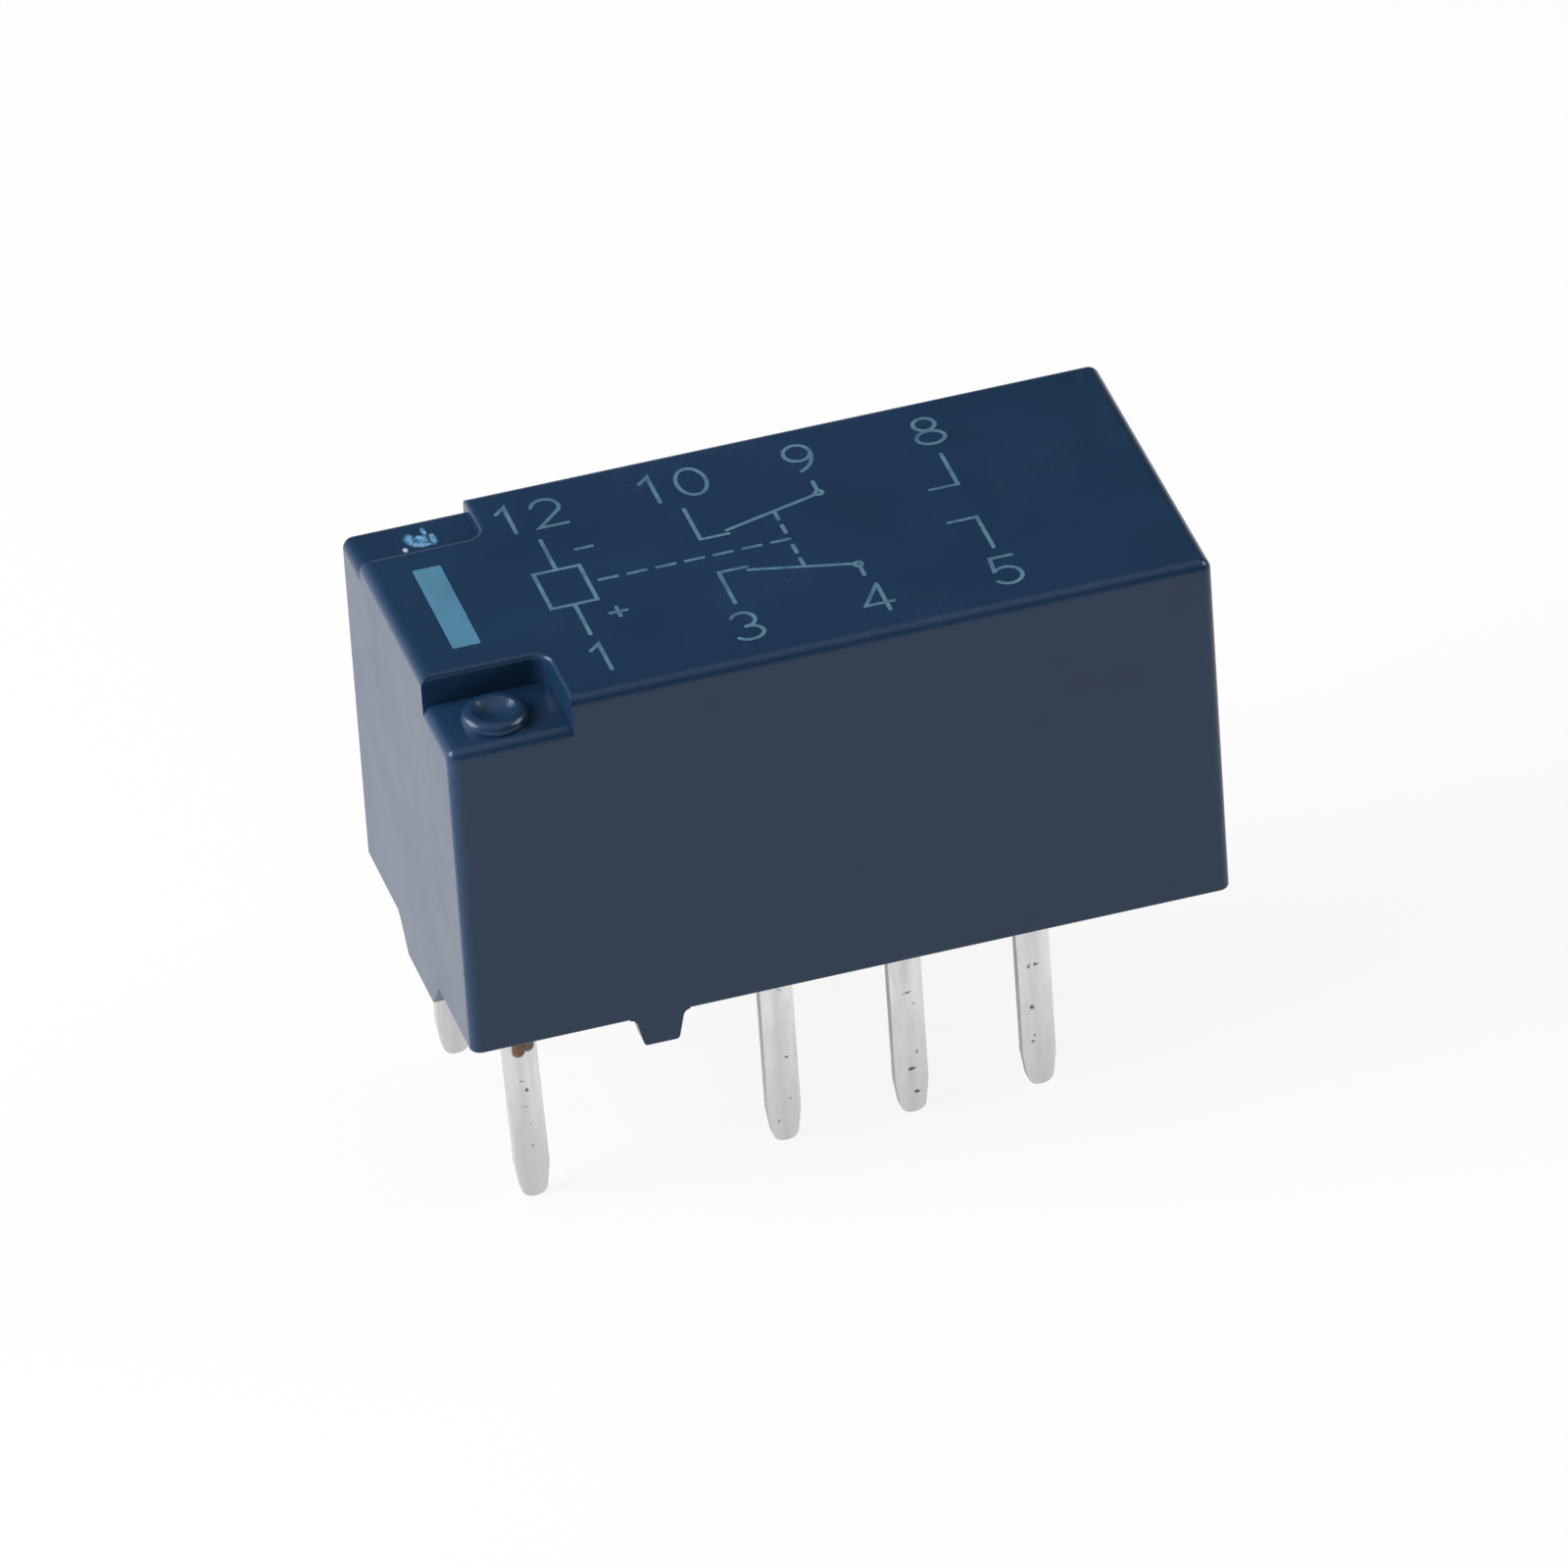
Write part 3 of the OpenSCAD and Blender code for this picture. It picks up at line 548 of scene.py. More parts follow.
@dataclass(frozen=True)
class MetalStrip(Finish):
    """Metal strip that was rolled or ground one way and then sheared to shape."""

    colour: Rgb
    dark_colour: Rgb
    edge_colour: Rgb
    edge_axis: Triple
    lines_per_mm: Triple
    roughness: float
    warp: float = 0.6
    streak_share: float = 0.35
    streak_depth_mm: float = 0.0006
    streak_roughness: Point = (-0.06, 0.1)
    blotches_per_mm: float = 1.7
    blotch_ends: Point = (0.35, 0.7)
    blotch_share: float = 0.4
    edge_roughness: float = 0.2
    speck_pitch_mm: float = 0.26
    speck_share: float = 0.0
    speck_mm: float = 0.04
    speck_matt: float = 0.8
    speck_colour: Rgb = screen(96, 90, 84)

    def wire(self, surface: Surface) -> None:
        """Wire the drawn-out lines, the blotches, the edges and the specks.

        Args:
            surface: The material's nodes.
        """
        streak, edge, colour = self.rolled(surface)
        colour = surface.blend(edge, colour, self.edge_colour)
        specks = surface.specks(surface.where, self.speck_pitch_mm, self.speck_share, self.speck_mm)
        matt = surface.math("MULTIPLY", specks, self.speck_matt)
        surface.paint(
            Base_Color=surface.blend(specks, colour, self.speck_colour),
            Metallic=surface.math("SUBTRACT", 1.0, matt),
        )
        surface.raise_by(streak, self.streak_depth_mm)

    def rolled(self, surface: Surface) -> tuple[Socket, Socket, Socket]:
        """Wire the strip's drawn-out lines and blotches, and how rough its faces and edges are.

        Args:
            surface: The material's nodes.

        Returns:
            The lines' mask, the sheared edges' mask and the colour of the faces.
        """
        where = surface.where
        streak = surface.place(
            GROUPS.streaks, Position=where, Lines_Per_Unit=self.lines_per_mm, Warp=self.warp
        ).outputs["Streak"]
        edge = surface.place(GROUPS.turned_to, Normal=surface.facing(), Axis=self.edge_axis).outputs["Mask"]
        blotch = surface.noise(where, self.blotches_per_mm, detail=3.0, rough=0.6)
        blotch = surface.ramp(blotch, *self.blotch_ends)
        share = surface.weighed((streak, self.streak_share), (blotch, self.blotch_share))
        smoother, rougher = self.streak_roughness
        rough = surface.ramp(streak, 0.0, 1.0, self.roughness + smoother, self.roughness + rougher)
        edge_rough = surface.math("MULTIPLY", edge, self.edge_roughness)
        surface.paint(Roughness=surface.math("ADD", rough, edge_rough, clamp=True))
        return streak, edge, surface.blend(share, self.colour, self.dark_colour)


@dataclass(frozen=True)
class TinnedBlade(MetalStrip):
    """Tinned flat terminals: bright faces, dull sheared edges and the small dents of the feed."""

    colour: Rgb = screen(229, 229, 231)
    dark_colour: Rgb = screen(210, 211, 213)
    edge_colour: Rgb = screen(190, 188, 186)
    edge_axis: Triple = (1.0, 0.0, 0.0)
    lines_per_mm: Triple = (9.0, 9.0, 0.8)
    roughness: float = 0.36
    streak_share: float = 0.4
    streak_roughness: Point = (-0.06, 0.08)
    streak_height: float = 0.1
    blotch_ends: Point = (0.3, 0.75)
    blotch_share: float = 0.5
    # Painted shade: the blades darken towards their tips, standing in for the shaded floor that they reflect.
    painted_tip_shade_colour: Rgb = screen(198, 198, 201)
    painted_tip_shade_share: float = 0.8
    tip_shade_mm: float = 3.2
    # Painted shade: a darker band up the middle of each blade stands in for the reflection of its curved
    # face.
    mid_shade_colour: Rgb = screen(176, 178, 182)
    mid_shade_share: float = 0.25
    mid_shade_mm: float = 0.22
    edge_matt: float = 0.5
    blade_pitch_mm: float = 2.54
    first_blade_mm: float = 1.27
    dent_colour: Rgb = screen(104, 101, 98)
    dent_stretch: Triple = (0.8, 1.0, 1.5)
    dent_pitch_mm: float = 0.32
    dent_share: float = 0.6
    dent_mm: float = 0.06
    dent_column_mm: Point = (0.102, 0.17)
    dent_matt: float = 0.7
    dent_depth_mm: float = 0.003

    def wire(self, surface: Surface) -> None:
        """Wire the tin's sheen, the painted shade at the tips, a painted shade band up the middle, the edges
        and the dents.

        Args:
            surface: The material's nodes.
        """
        streak, edge, colour = self.rolled(surface)
        along, _, height = surface.parts(surface.where)
        shifted = surface.math("ADD", along, self.first_blade_mm)
        off_middle = surface.math("PINGPONG", shifted, self.blade_pitch_mm / 2)
        # Painted shade: darker colour towards the tips, in place of the shaded floor's reflection.
        painted_tip_shade = surface.ramp(height, 0.0, self.tip_shade_mm, self.painted_tip_shade_share, 0.0)
        # Painted shade: darker towards the middle of each blade, in place of its face's reflection.
        painted_mid_shade = surface.ramp(off_middle, 0.0, self.mid_shade_mm, self.mid_shade_share, 0.0)
        dents = self._dents(surface, off_middle)
        for share, paint in (
            (painted_tip_shade, self.painted_tip_shade_colour), (painted_mid_shade, self.mid_shade_colour),
            (edge, self.edge_colour), (dents, self.dent_colour),
        ):
            colour = surface.blend(share, colour, paint)
        dent_matt = surface.math("MULTIPLY", dents, self.dent_matt)
        matt = surface.math("MAXIMUM", dent_matt, surface.math("MULTIPLY", edge, self.edge_matt))
        surface.paint(Base_Color=colour, Metallic=surface.math("SUBTRACT", 1.0, matt))
        lines = surface.math("MULTIPLY", streak, self.streak_height)
        surface.raise_by(surface.math("SUBTRACT", lines, dents), self.dent_depth_mm)

    def _dents(self, surface: Surface, off_middle: Socket) -> Socket:
        """Mark small dents in a column up the middle of each blade.

        Args:
            surface: The material's nodes.
            off_middle: The distance from the middle of the blade, in millimetres.

        Returns:
            The dents' mask.
        """
        flattened = surface.vector("MULTIPLY", surface.where, self.dent_stretch)
        dents = surface.specks(flattened, self.dent_pitch_mm, self.dent_share, self.dent_mm)
        return surface.math("MULTIPLY", dents, surface.ramp(off_middle, *self.dent_column_mm, 1.0, 0.0))


@dataclass(frozen=True)
class EnamelledWire(Finish):
    """Fine copper wire under clear enamel."""

    colour: Rgb = screen(196, 108, 62)
    dark_colour: Rgb = screen(132, 62, 34)
    turns_per_mm: Triple = (10.0, 0.7, 0.7)
    warp: float = 0.3
    turn_depth_mm: float = 0.001
    patches_per_mm: float = 3.0
    patch_ends: Point = (0.3, 0.7)
    roughness: Point = (0.3, 0.42)
    metal: float = 0.85
    enamel: float = 0.4
    enamel_roughness: float = 0.2

    def wire(self, surface: Surface) -> None:
        """Wire the turns of the wire and its enamel.

        Args:
            surface: The material's nodes.
        """
        turns = surface.place(
            GROUPS.streaks, Position=surface.where, Lines_Per_Unit=self.turns_per_mm, Warp=self.warp
        ).outputs["Streak"]
        patches = surface.noise(surface.where, self.patches_per_mm)
        surface.paint(
            Base_Color=surface.blend(turns, self.colour, self.dark_colour),
            Roughness=surface.ramp(patches, *self.patch_ends, *self.roughness),
            Metallic=self.metal, Coat_Weight=self.enamel, Coat_Roughness=self.enamel_roughness,
        )
        surface.raise_by(turns, self.turn_depth_mm)


@dataclass(frozen=True)
class WornCoat(Finish):
    """A coat that wears or tarnishes in patches and has a fine grain."""

    colour: Rgb
    worn_colour: Rgb
    patch_mm: float
    patch_ends: Point
    roughness: Point
    grain_per_mm: float
    grain_depth_mm: float
    metal: float = 0.0
    reflection: float = 0.5

    def wire(self, surface: Surface) -> None:
        """Wire the patches and the grain.

        Args:
            surface: The material's nodes.
        """
        worn = surface.noise(surface.where, 1 / self.patch_mm, detail=4.0, rough=0.6)
        worn = surface.ramp(worn, *self.patch_ends)
        surface.paint(
            Base_Color=surface.blend(worn, self.colour, self.worn_colour),
            Roughness=surface.ramp(worn, 0.0, 1.0, *self.roughness),
            Metallic=self.metal, Specular_IOR_Level=self.reflection,
        )
        surface.raise_by(surface.noise(surface.where, self.grain_per_mm, detail=3.0), self.grain_depth_mm)


@dataclass(frozen=True)
class ContactSilver(WornCoat):
    """Silver alloy of the contacts, polished by its rubbing partner and finely pitted."""

    colour: Rgb = screen(226, 227, 226)
    worn_colour: Rgb = screen(176, 170, 158)
    patch_mm: float = 1 / 4.5
    patch_ends: Point = (0.4, 0.7)
    roughness: Point = (0.16, 0.36)
    grain_per_mm: float = 22.0
    grain_depth_mm: float = 0.0008
    metal: float = 1.0


@dataclass(frozen=True)
class MarkingInk(WornCoat):
    """Thin print on the case: uneven at its edge and worn in places."""

    patch_mm: float = 0.35
    patch_ends: Point = (0.36, 0.72)
    roughness: Point = (0.42, 0.55)
    grain_per_mm: float = 26.0
    grain_depth_mm: float = 0.001
    reflection: float = 0.25


@dataclass(frozen=True)
class PenSpot(Finish):
    """Blotchy pen ink in soft dabs with a white dot that is a painted highlight, over plastic of the case's
    own colour.
    """

    dabs: Sequence[Dab]
    painted_highlight_dab: Dab
    bare: Rgb = screen(28, 55, 85)
    pale: Rgb = screen(138, 176, 216)
    teal: Rgb = screen(66, 136, 176)
    # The white of the dot that paints a highlight on the ink.
    white: Rgb = screen(206, 210, 236)
    waves_per_mm: float = 11.0
    wave_ends: Point = (0.2, 0.8)
    stray: float = 0.25
    tones_per_mm: float = 7.0
    tone_ends: Point = (0.4, 0.62)
    dab_ends: Point = (0.4, 1.1)
    roughness: Point = (0.25, 0.45)
    reflection: float = 0.34
    ink_depth_mm: float = 0.002

    def wire(self, surface: Surface) -> None:
        """Wire the dabs of ink and the white dot, which is a painted highlight.

        Args:
            surface: The material's nodes.
        """
        waves = surface.noise(surface.where, self.waves_per_mm, detail=3.0, rough=0.6)
        wobble = surface.ramp(waves, *self.wave_ends, -self.stray, self.stray)
        cover: Value = 0.0
        for dab in self.dabs:
            cover = surface.math("MAXIMUM", cover, self._dab(surface, dab, wobble))
        tone = surface.ramp(surface.noise(surface.where, self.tones_per_mm), *self.tone_ends)
        colour = surface.blend(cover, self.bare, surface.blend(tone, self.teal, self.pale))
        # Painted highlight: a white dot laid over the ink's colour.
        dot = self._dab(surface, self.painted_highlight_dab, wobble)
        surface.paint(
            Base_Color=surface.blend(dot, colour, self.white),
            Roughness=surface.ramp(cover, 0.0, 1.0, *self.roughness), Specular_IOR_Level=self.reflection,
        )
        surface.raise_by(cover, self.ink_depth_mm)

    def _dab(self, surface: Surface, dab: Dab, wobble: Socket) -> Socket:
        """Cover a soft ellipse with ink.

        Args:
            surface: The material's nodes.
            dab: The ellipse's centre, and its half width and half height.
            wobble: How far its edge strays, as a share of its size.

        Returns:
            The ink's cover, from 0 to 1.
        """
        (x, y), (half_w, half_h) = dab
        off = surface.vector("SUBTRACT", surface.where, (x, y, 0.0))
        spread = surface.vector("MULTIPLY", off, (1 / half_w, 1 / half_h, 0.0))
        reach = surface.math("ADD", surface.vector("LENGTH", spread), wobble)
        return surface.ramp(reach, *self.dab_ends, 1.0, 0.0)


class Finishes:
    """Every finish of the relay, built when it is first asked for."""

    def __init__(self) -> None:
        """List the finishes."""
        self._recipes: dict[Slot, Finish] = {
            Slot.CASE: MouldedPlastic(
                screen(25, 51, 79), screen(30, 58, 89), roughness=0.25, reflection=0.34,
            ),
            Slot.RESIN: CastResin(),
            Slot.BASE: MouldedPlastic(
                screen(38, 40, 43), screen(48, 50, 53), roughness=0.5, reflection=0.4, mottle_mm=1.4,
            ),
            Slot.BOBBIN: MouldedPlastic(
                screen(222, 214, 196), screen(232, 226, 210), roughness=0.45, reflection=0.45,
            ),
            Slot.ARMATURE: MouldedPlastic(
                screen(206, 196, 170), screen(218, 209, 186), roughness=0.48, reflection=0.45,
            ),
            Slot.TIN: TinnedBlade(),
            Slot.IRON: MetalStrip(
                screen(178, 179, 182), screen(150, 151, 155), screen(120, 120, 122),
                edge_axis=(1.0, 0.0, 0.0), lines_per_mm=(0.6, 14.0, 14.0), roughness=0.34,
            ),
            Slot.MAGNET: MetalStrip(
                screen(104, 105, 108), screen(80, 81, 84), screen(92, 92, 94),
                edge_axis=(0.0, 0.0, 1.0), lines_per_mm=(12.0, 0.7, 12.0), roughness=0.42, speck_share=0.06,
            ),
            Slot.SPRING: MetalStrip(
                screen(214, 176, 110), screen(186, 146, 84), screen(160, 120, 70),
                edge_axis=(0.0, 0.0, 0.0), lines_per_mm=(0.7, 16.0, 16.0), roughness=0.28,
            ),
            Slot.SILVER: ContactSilver(),
            Slot.WIRE: EnamelledWire(),
        }
        self._made: dict[Slot, Material] = {}

    def of(self, slot: Slot) -> Material:
        """Give the finish of a slot.

        Args:
            slot: The record's slot.

        Returns:
            The material, the same each time.
        """
        if slot not in self._made:
            self._made[slot] = self._recipes[slot].material(slot.value)
        return self._made[slot]

    def dress(self, slot: Slot, *nodes: str) -> None:
        """Give CAD nodes the finish of a slot.

        Args:
            slot: The record's slot.
            *nodes: The nodes' names.
        """
        for node in nodes:
            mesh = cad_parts[node].data
            mesh.materials.clear()
            mesh.materials.append(self.of(slot))
            LOG.info("dressed %s in %s", node, slot.value)


def put_in_scene(name: str, data: bpy.types.ID) -> bpy.types.Object:
    """Make an object of a mesh, a lamp or a camera and put it in the scene.

    Args:
        name: The object's name.
        data: Its mesh, lamp or camera.

    Returns:
        The object.
    """
    made = bpy.data.objects.new(name, data)
    bpy.context.scene.collection.objects.link(made)
    return made


def mesh_object(name: str, mesh: bmesh.types.BMesh, material: Material) -> bpy.types.Object:
    """Turn a built mesh into an object of the scene.

    Args:
        name: The object's name.
        mesh: Its mesh, in metres in the part's frame. It is freed.
        material: Its finish.

    Returns:
        The object.
    """
    data = bpy.data.meshes.new(name)
    mesh.to_mesh(data)
    mesh.free()
    data.materials.append(material)
    return put_in_scene(name, data)


def flat_patch(outline: Sequence[Point], level: float) -> bmesh.types.BMesh:
    """Make a level face.

    Args:
        outline: Its corners in millimetres, in order.
        level: Its height in millimetres.

    Returns:
        The mesh.
    """
    mesh = bmesh.new()
    mesh.faces.new([mesh.verts.new((x * MM, y * MM, level * MM)) for x, y in outline])
    return mesh


def arc(centre: Point, radii: Point, start: float, end: float, steps: int = 14) -> list[Point]:
    """Give the points along an ellipse's arc between two angles in degrees, both ends included."""
    angles = [math.radians(start + (end - start) * k / steps) for k in range(steps + 1)]
    return [(centre[0] + radii[0] * math.cos(a), centre[1] + radii[1] * math.sin(a)) for a in angles]


@dataclass(frozen=True)
class Stroke:
    """One line of print, open or closed into a loop."""

    points: Sequence[Point]
    closed: bool = False

    def moved(self, corner: Point, scale: float) -> "Stroke":
        """Give the stroke scaled and with its origin at a corner."""
        placed = [(corner[0] + scale * x, corner[1] + scale * y) for x, y in self.points]
        return Stroke(placed, self.closed)


def ellipse(centre: Point, radii: Point, steps: int) -> Stroke:
    """Go once round an ellipse, in that many lines."""
    return Stroke(arc(centre, radii, 0, FULL_TURN, steps)[:-1], closed=True)


DIGIT_W = 0.62
DIGITS: dict[str, tuple[Stroke, ...]] = {
    "0": (ellipse((0.31, 0.5), (0.31, 0.5), 28),),
    "1": (Stroke([(0.14, 0.8), (0.36, 1.0), (0.36, 0.0)]),),
    "2": (Stroke([*arc((0.3, 0.7), (0.29, 0.3), 165, -35), (0.0, 0.0), (0.6, 0.0)]),),
    "3": (
        Stroke(arc((0.28, 0.74), (0.25, 0.26), 150, -90)),
        Stroke(arc((0.28, 0.25), (0.3, 0.25), 90, -150)),
    ),
    "4": (Stroke([(0.6, 0.28), (0.0, 0.28), (0.44, 1.0)]), Stroke([(0.44, 1.0), (0.44, 0.0)])),
    "5": (
        Stroke([(0.56, 1.0), (0.1, 1.0), (0.05, 0.5)]),
        Stroke(arc((0.28, 0.31), (0.3, 0.31), 140, -150)),
    ),
    "8": (
        ellipse((0.3, 0.76), (0.23, 0.23), 24),
        ellipse((0.3, 0.24), (0.3, 0.24), 24),
    ),
    "9": (
        ellipse((0.3, 0.7), (0.28, 0.3), 24),
        Stroke(arc((0.08, 0.7), (0.5, 0.7), 0, -75)),
    ),
}


CAP_STEPS = 6
BLUNTEST_MITRE = 0.4


def ribbon(mesh: bmesh.types.BMesh, stroke: Stroke, width: float, level: float) -> None:
    """Lay a stroke down as a flat ribbon with mitred bends and round ends.

    Args:
        mesh: The mesh that gets the ribbon.
        stroke: The line, in millimetres.
        width: The ribbon's width in millimetres.
        level: Its height in millimetres.
    """
    line = [Vector(point) for point in stroke.points]
    count, half = len(line), width / 2
    sides = []
    for k, point in enumerate(line):
        before = line[k - 1] if k > 0 or stroke.closed else None
        after = line[(k + 1) % count] if k + 1 < count or stroke.closed else None
        ways = [(point - before).normalized()] if before else []
        ways += [(after - point).normalized()] if after else []
        way = sum(ways, Vector((0, 0))).normalized()
        across = Vector((-way.y, way.x)) * half / max(way.dot(ways[0]), BLUNTEST_MITRE)
        sides.append((point + across, point - across))

    def corner(flat: Vector) -> bmesh.types.BMVert:
        """Add one vertex."""
        return mesh.verts.new((flat.x * MM, flat.y * MM, level * MM))

    rails = [(corner(left), corner(right)) for left, right in sides]
    links = list(zip(rails, rails[1:])) + ([(rails[-1], rails[0])] if stroke.closed else [])
    for (left, right), (next_left, next_right) in links:
        mesh.faces.new((left, right, next_right, next_left))
    if stroke.closed:
        return
    for (left, right), centre, (from_side, _) in (
        (rails[0], line[0], sides[0]), (rails[-1][::-1], line[-1], sides[-1][::-1])
    ):
        turns = [Matrix.Rotation(math.pi / CAP_STEPS * k, 2) for k in range(1, CAP_STEPS)]
        mesh.faces.new((left, *(corner(centre + turn @ (from_side - centre)) for turn in turns), right))


def ink_layer(name: str, mesh: bmesh.types.BMesh, material: Material, depth_mm: float) -> None:
    """Turn flat faces into a thin closed layer of ink that sinks into its surface.

    Args:
        name: The piece's name.
        mesh: The flat faces at the ink's top.
        material: The ink.
        depth_mm: How far the layer reaches down.
    """
    bmesh.ops.recalc_face_normals(mesh, faces=mesh.faces)
    for face in mesh.faces:
        if face.normal.z < 0:
            face.normal_flip()
    piece = mesh_object(name, mesh, material)
    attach(piece, STILL_BODY)
    layer = piece.modifiers.new("layer", "SOLIDIFY")
    layer.thickness = depth_mm * MM
    layer.offset = -1.0
    LOG.info("printed %s with %d faces", name, len(piece.data.polygons))


@dataclass
class CaseMarks:
    """Print on the roof: the bar by terminal 1, the terminals' numbers and a contact diagram."""

    roof_z: float
    notch_floor_z: float
    contact_x: Triple
    stroke_w: float = 0.08
    digit_h: float = 0.92
    digit_gap: float = 0.22
    ink_t: float = 0.005
    ink_sink: float = 0.006
    ink_step: float = 0.0003
    ink_levels: int = 11
    bar_low: Point = (-6.65, -1.22)
    bar_high: Point = (-6.10, 1.59)
    bar_corner_r: float = 0.05
    bar_corner_steps: int = 4
    front_row_y: float = -2.98
    rear_row_y: float = 2.1
    rail_y: float = 1.7
    coil_x: float = -4.1
    coil_half: Point = (0.45, 0.62)
    sign_x: float = -3.4
    sign_half: float = 0.16
    link_x: float = 0.3
    link_reach: float = 0.75
    dash: float = 0.34
    dash_gap: float = 0.22
    pivot_y: float = 1.3
    pivot_r: float = 0.07
    pivot_steps: int = 12
    contact_y: float = 0.6
    contact_l: float = 0.55
    contact_gap: float = 0.12
    spot_centre: Point = (-6.17, 2.95)
    spot_half: Point = (0.44, 0.47)
    spot_steps: int = 40
    spot_dabs: Sequence[Dab] = (
        ((-6.32, 3.03), (0.12, 0.2)), ((-6.25, 2.83), (0.1, 0.12)), ((-5.99, 3.2), (0.06, 0.17)),
        ((-6.1, 2.95), (0.15, 0.19)), ((-5.88, 2.9), (0.08, 0.22)), ((-6.1, 2.76), (0.16, 0.09)),
    )
    # A white dab painted as a highlight on the spot.
    painted_highlight_dab: Dab = ((-6.48, 2.71), (0.06, 0.09))
    strokes: list[Stroke] = field(default_factory=list)

    def write_number(self, number: str, centre_x: float, low_y: float) -> None:
        """Add a terminal's number.

        Args:
            number: Its digits.
            centre_x: The middle of the number, in millimetres.
            low_y: The foot of the digits, in millimetres.
        """
        step = DIGIT_W * self.digit_h + self.digit_gap
        start = centre_x - (step * len(number) - self.digit_gap) / 2
        for k, digit in enumerate(number):
            self.strokes += [part.moved((start + k * step, low_y), self.digit_h) for part in DIGITS[digit]]

    def write_numbers(self) -> None:
        """Add the numbers of all terminals."""
        closed, common, open_side = self.contact_x
        front, rear = self.front_row_y, self.rear_row_y
        for number, centre_x, low_y in (
            ("3", closed, front), ("4", common, front), ("5", open_side, front),
            ("10", closed, rear), ("9", common, rear), ("8", open_side, rear),
            ("1", self.coil_x, front), ("12", self.coil_x, rear),
        ):
            self.write_number(number, centre_x, low_y)

    def draw_contact_set(self, side: int) -> None:
        """Draw one changeover contact.

        Args:
            side: Minus one for the front row, one for the rear row.
        """
        rail, contact, pivot = side * self.rail_y, side * self.contact_y, side * self.pivot_y
        closed, common, open_side = self.contact_x
        radius, arm_end = self.pivot_r, (closed + self.contact_l, contact + side * self.contact_gap)
        self.strokes += [
            Stroke([(closed, rail), (closed, contact), (closed + self.contact_l, contact)]),
            Stroke([(open_side, rail), (open_side, contact), (open_side - self.contact_l, contact)]),
            Stroke([(common, rail), (common, pivot + side * radius)]),
            ellipse((common, pivot), (radius, radius), self.pivot_steps),
            Stroke([(common - radius, pivot - side * radius / 2), arm_end]),
        ]

    def draw_dashes(self, start: Point, end: Point) -> None:
        """Draw a dashed line.

        Args:
            start: Its first end.
            end: Its other end.
        """
        first, whole = Vector(start), Vector(end) - Vector(start)
        count = round((whole.length + self.dash_gap) / (self.dash + self.dash_gap))
        step = (whole.length + self.dash_gap) / count
        for k in range(count):
            ends = (k * step, (k + 1) * step - self.dash_gap)
            self.strokes.append(Stroke([tuple(first + whole.normalized() * reach) for reach in ends]))

    def draw_coil(self) -> None:
        """Draw the coil's box, its two leads with their signs, and the link to the contacts."""
        x, sign_x, sign_half, (half_w, half_h) = self.coil_x, self.sign_x, self.sign_half, self.coil_half
        corners = [(x - half_w, -half_h), (x + half_w, -half_h), (x + half_w, half_h), (x - half_w, half_h)]
        self.strokes.append(Stroke(corners, closed=True))
        sign_y = (self.rail_y + half_h) / 2
        for side in (-1, 1):
            self.strokes.append(Stroke([(x, side * half_h), (x, side * self.rail_y)]))
            across = side * sign_y
            self.strokes.append(Stroke([(sign_x - sign_half, across), (sign_x + sign_half, across)]))
            link_end = side * self.pivot_y * self.link_reach
            self.draw_dashes((self.link_x, side * self.dash_gap), (self.link_x, link_end))
        self.strokes.append(Stroke([(sign_x, -sign_y - sign_half), (sign_x, -sign_y + sign_half)]))
        self.draw_dashes((x + half_w + self.dash_gap, 0.0), (self.link_x, 0.0))

    def build(self) -> None:
        """Print every mark."""
        self.write_numbers()
        self.draw_coil()
        for side in (-1, 1):
            self.draw_contact_set(side)
        top, layer = self.roof_z + self.ink_t, bmesh.new()
        for k, stroke in enumerate(self.strokes):
            ribbon(layer, stroke, self.stroke_w, top - k % self.ink_levels * self.ink_step)
        print_ink = MarkingInk(screen(92, 132, 154), screen(64, 98, 126)).material("case_print")
        ink_layer("roof_print", layer, print_ink, self.ink_t + self.ink_sink)
        bar_ink = MarkingInk(screen(82, 136, 164), screen(76, 118, 148), patch_mm=1.6).material("bar_print")
        ink_layer("terminal_1_bar", flat_patch(self._bar_outline(), top), bar_ink, self.ink_t + self.ink_sink)
        outline = ellipse(self.spot_centre, self.spot_half, self.spot_steps).points
        spot = flat_patch(outline, self.notch_floor_z + self.ink_t / 2)
        spot_ink = PenSpot(self.spot_dabs, self.painted_highlight_dab).material("spot_ink")
        ink_layer("inspection_spot", spot, spot_ink, self.ink_t)

    def _bar_outline(self) -> list[Point]:
        """Draw round the solid bar that marks terminal 1.

        Returns:
            The outline, with rounded corners.
        """
        (low_x, low_y), (high_x, high_y), r = self.bar_low, self.bar_high, self.bar_corner_r
        left, right, front, rear = low_x + r, high_x - r, low_y + r, high_y - r
        outline = []
        for quarter, centre in enumerate(((right, rear), (left, rear), (left, front), (right, front))):
            outline += arc(centre, (r, r), 90 * quarter, 90 * (quarter + 1), self.bar_corner_steps)
        return outline


@dataclass
class CaseShell:
    """The one-piece case with its marks."""

    finishes: Finishes
    shallow_notch_d: float = 0.27
    pitch: float = 2.54
    coil_pin_from_end: float = 1.15
    pitches_to_contacts: tuple[int, ...] = (2, 3, 4)

    def build(self) -> None:
        """Dress the case and print its marks."""
        self.finishes.dress(Slot.CASE, "case")
        low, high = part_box("case")
        coil_pin_x, roof_z = low.x / MM + self.coil_pin_from_end, high.z / MM
        contact_x = tuple(coil_pin_x + k * self.pitch for k in self.pitches_to_contacts)
        CaseMarks(roof_z, roof_z - self.shallow_notch_d, contact_x).build()


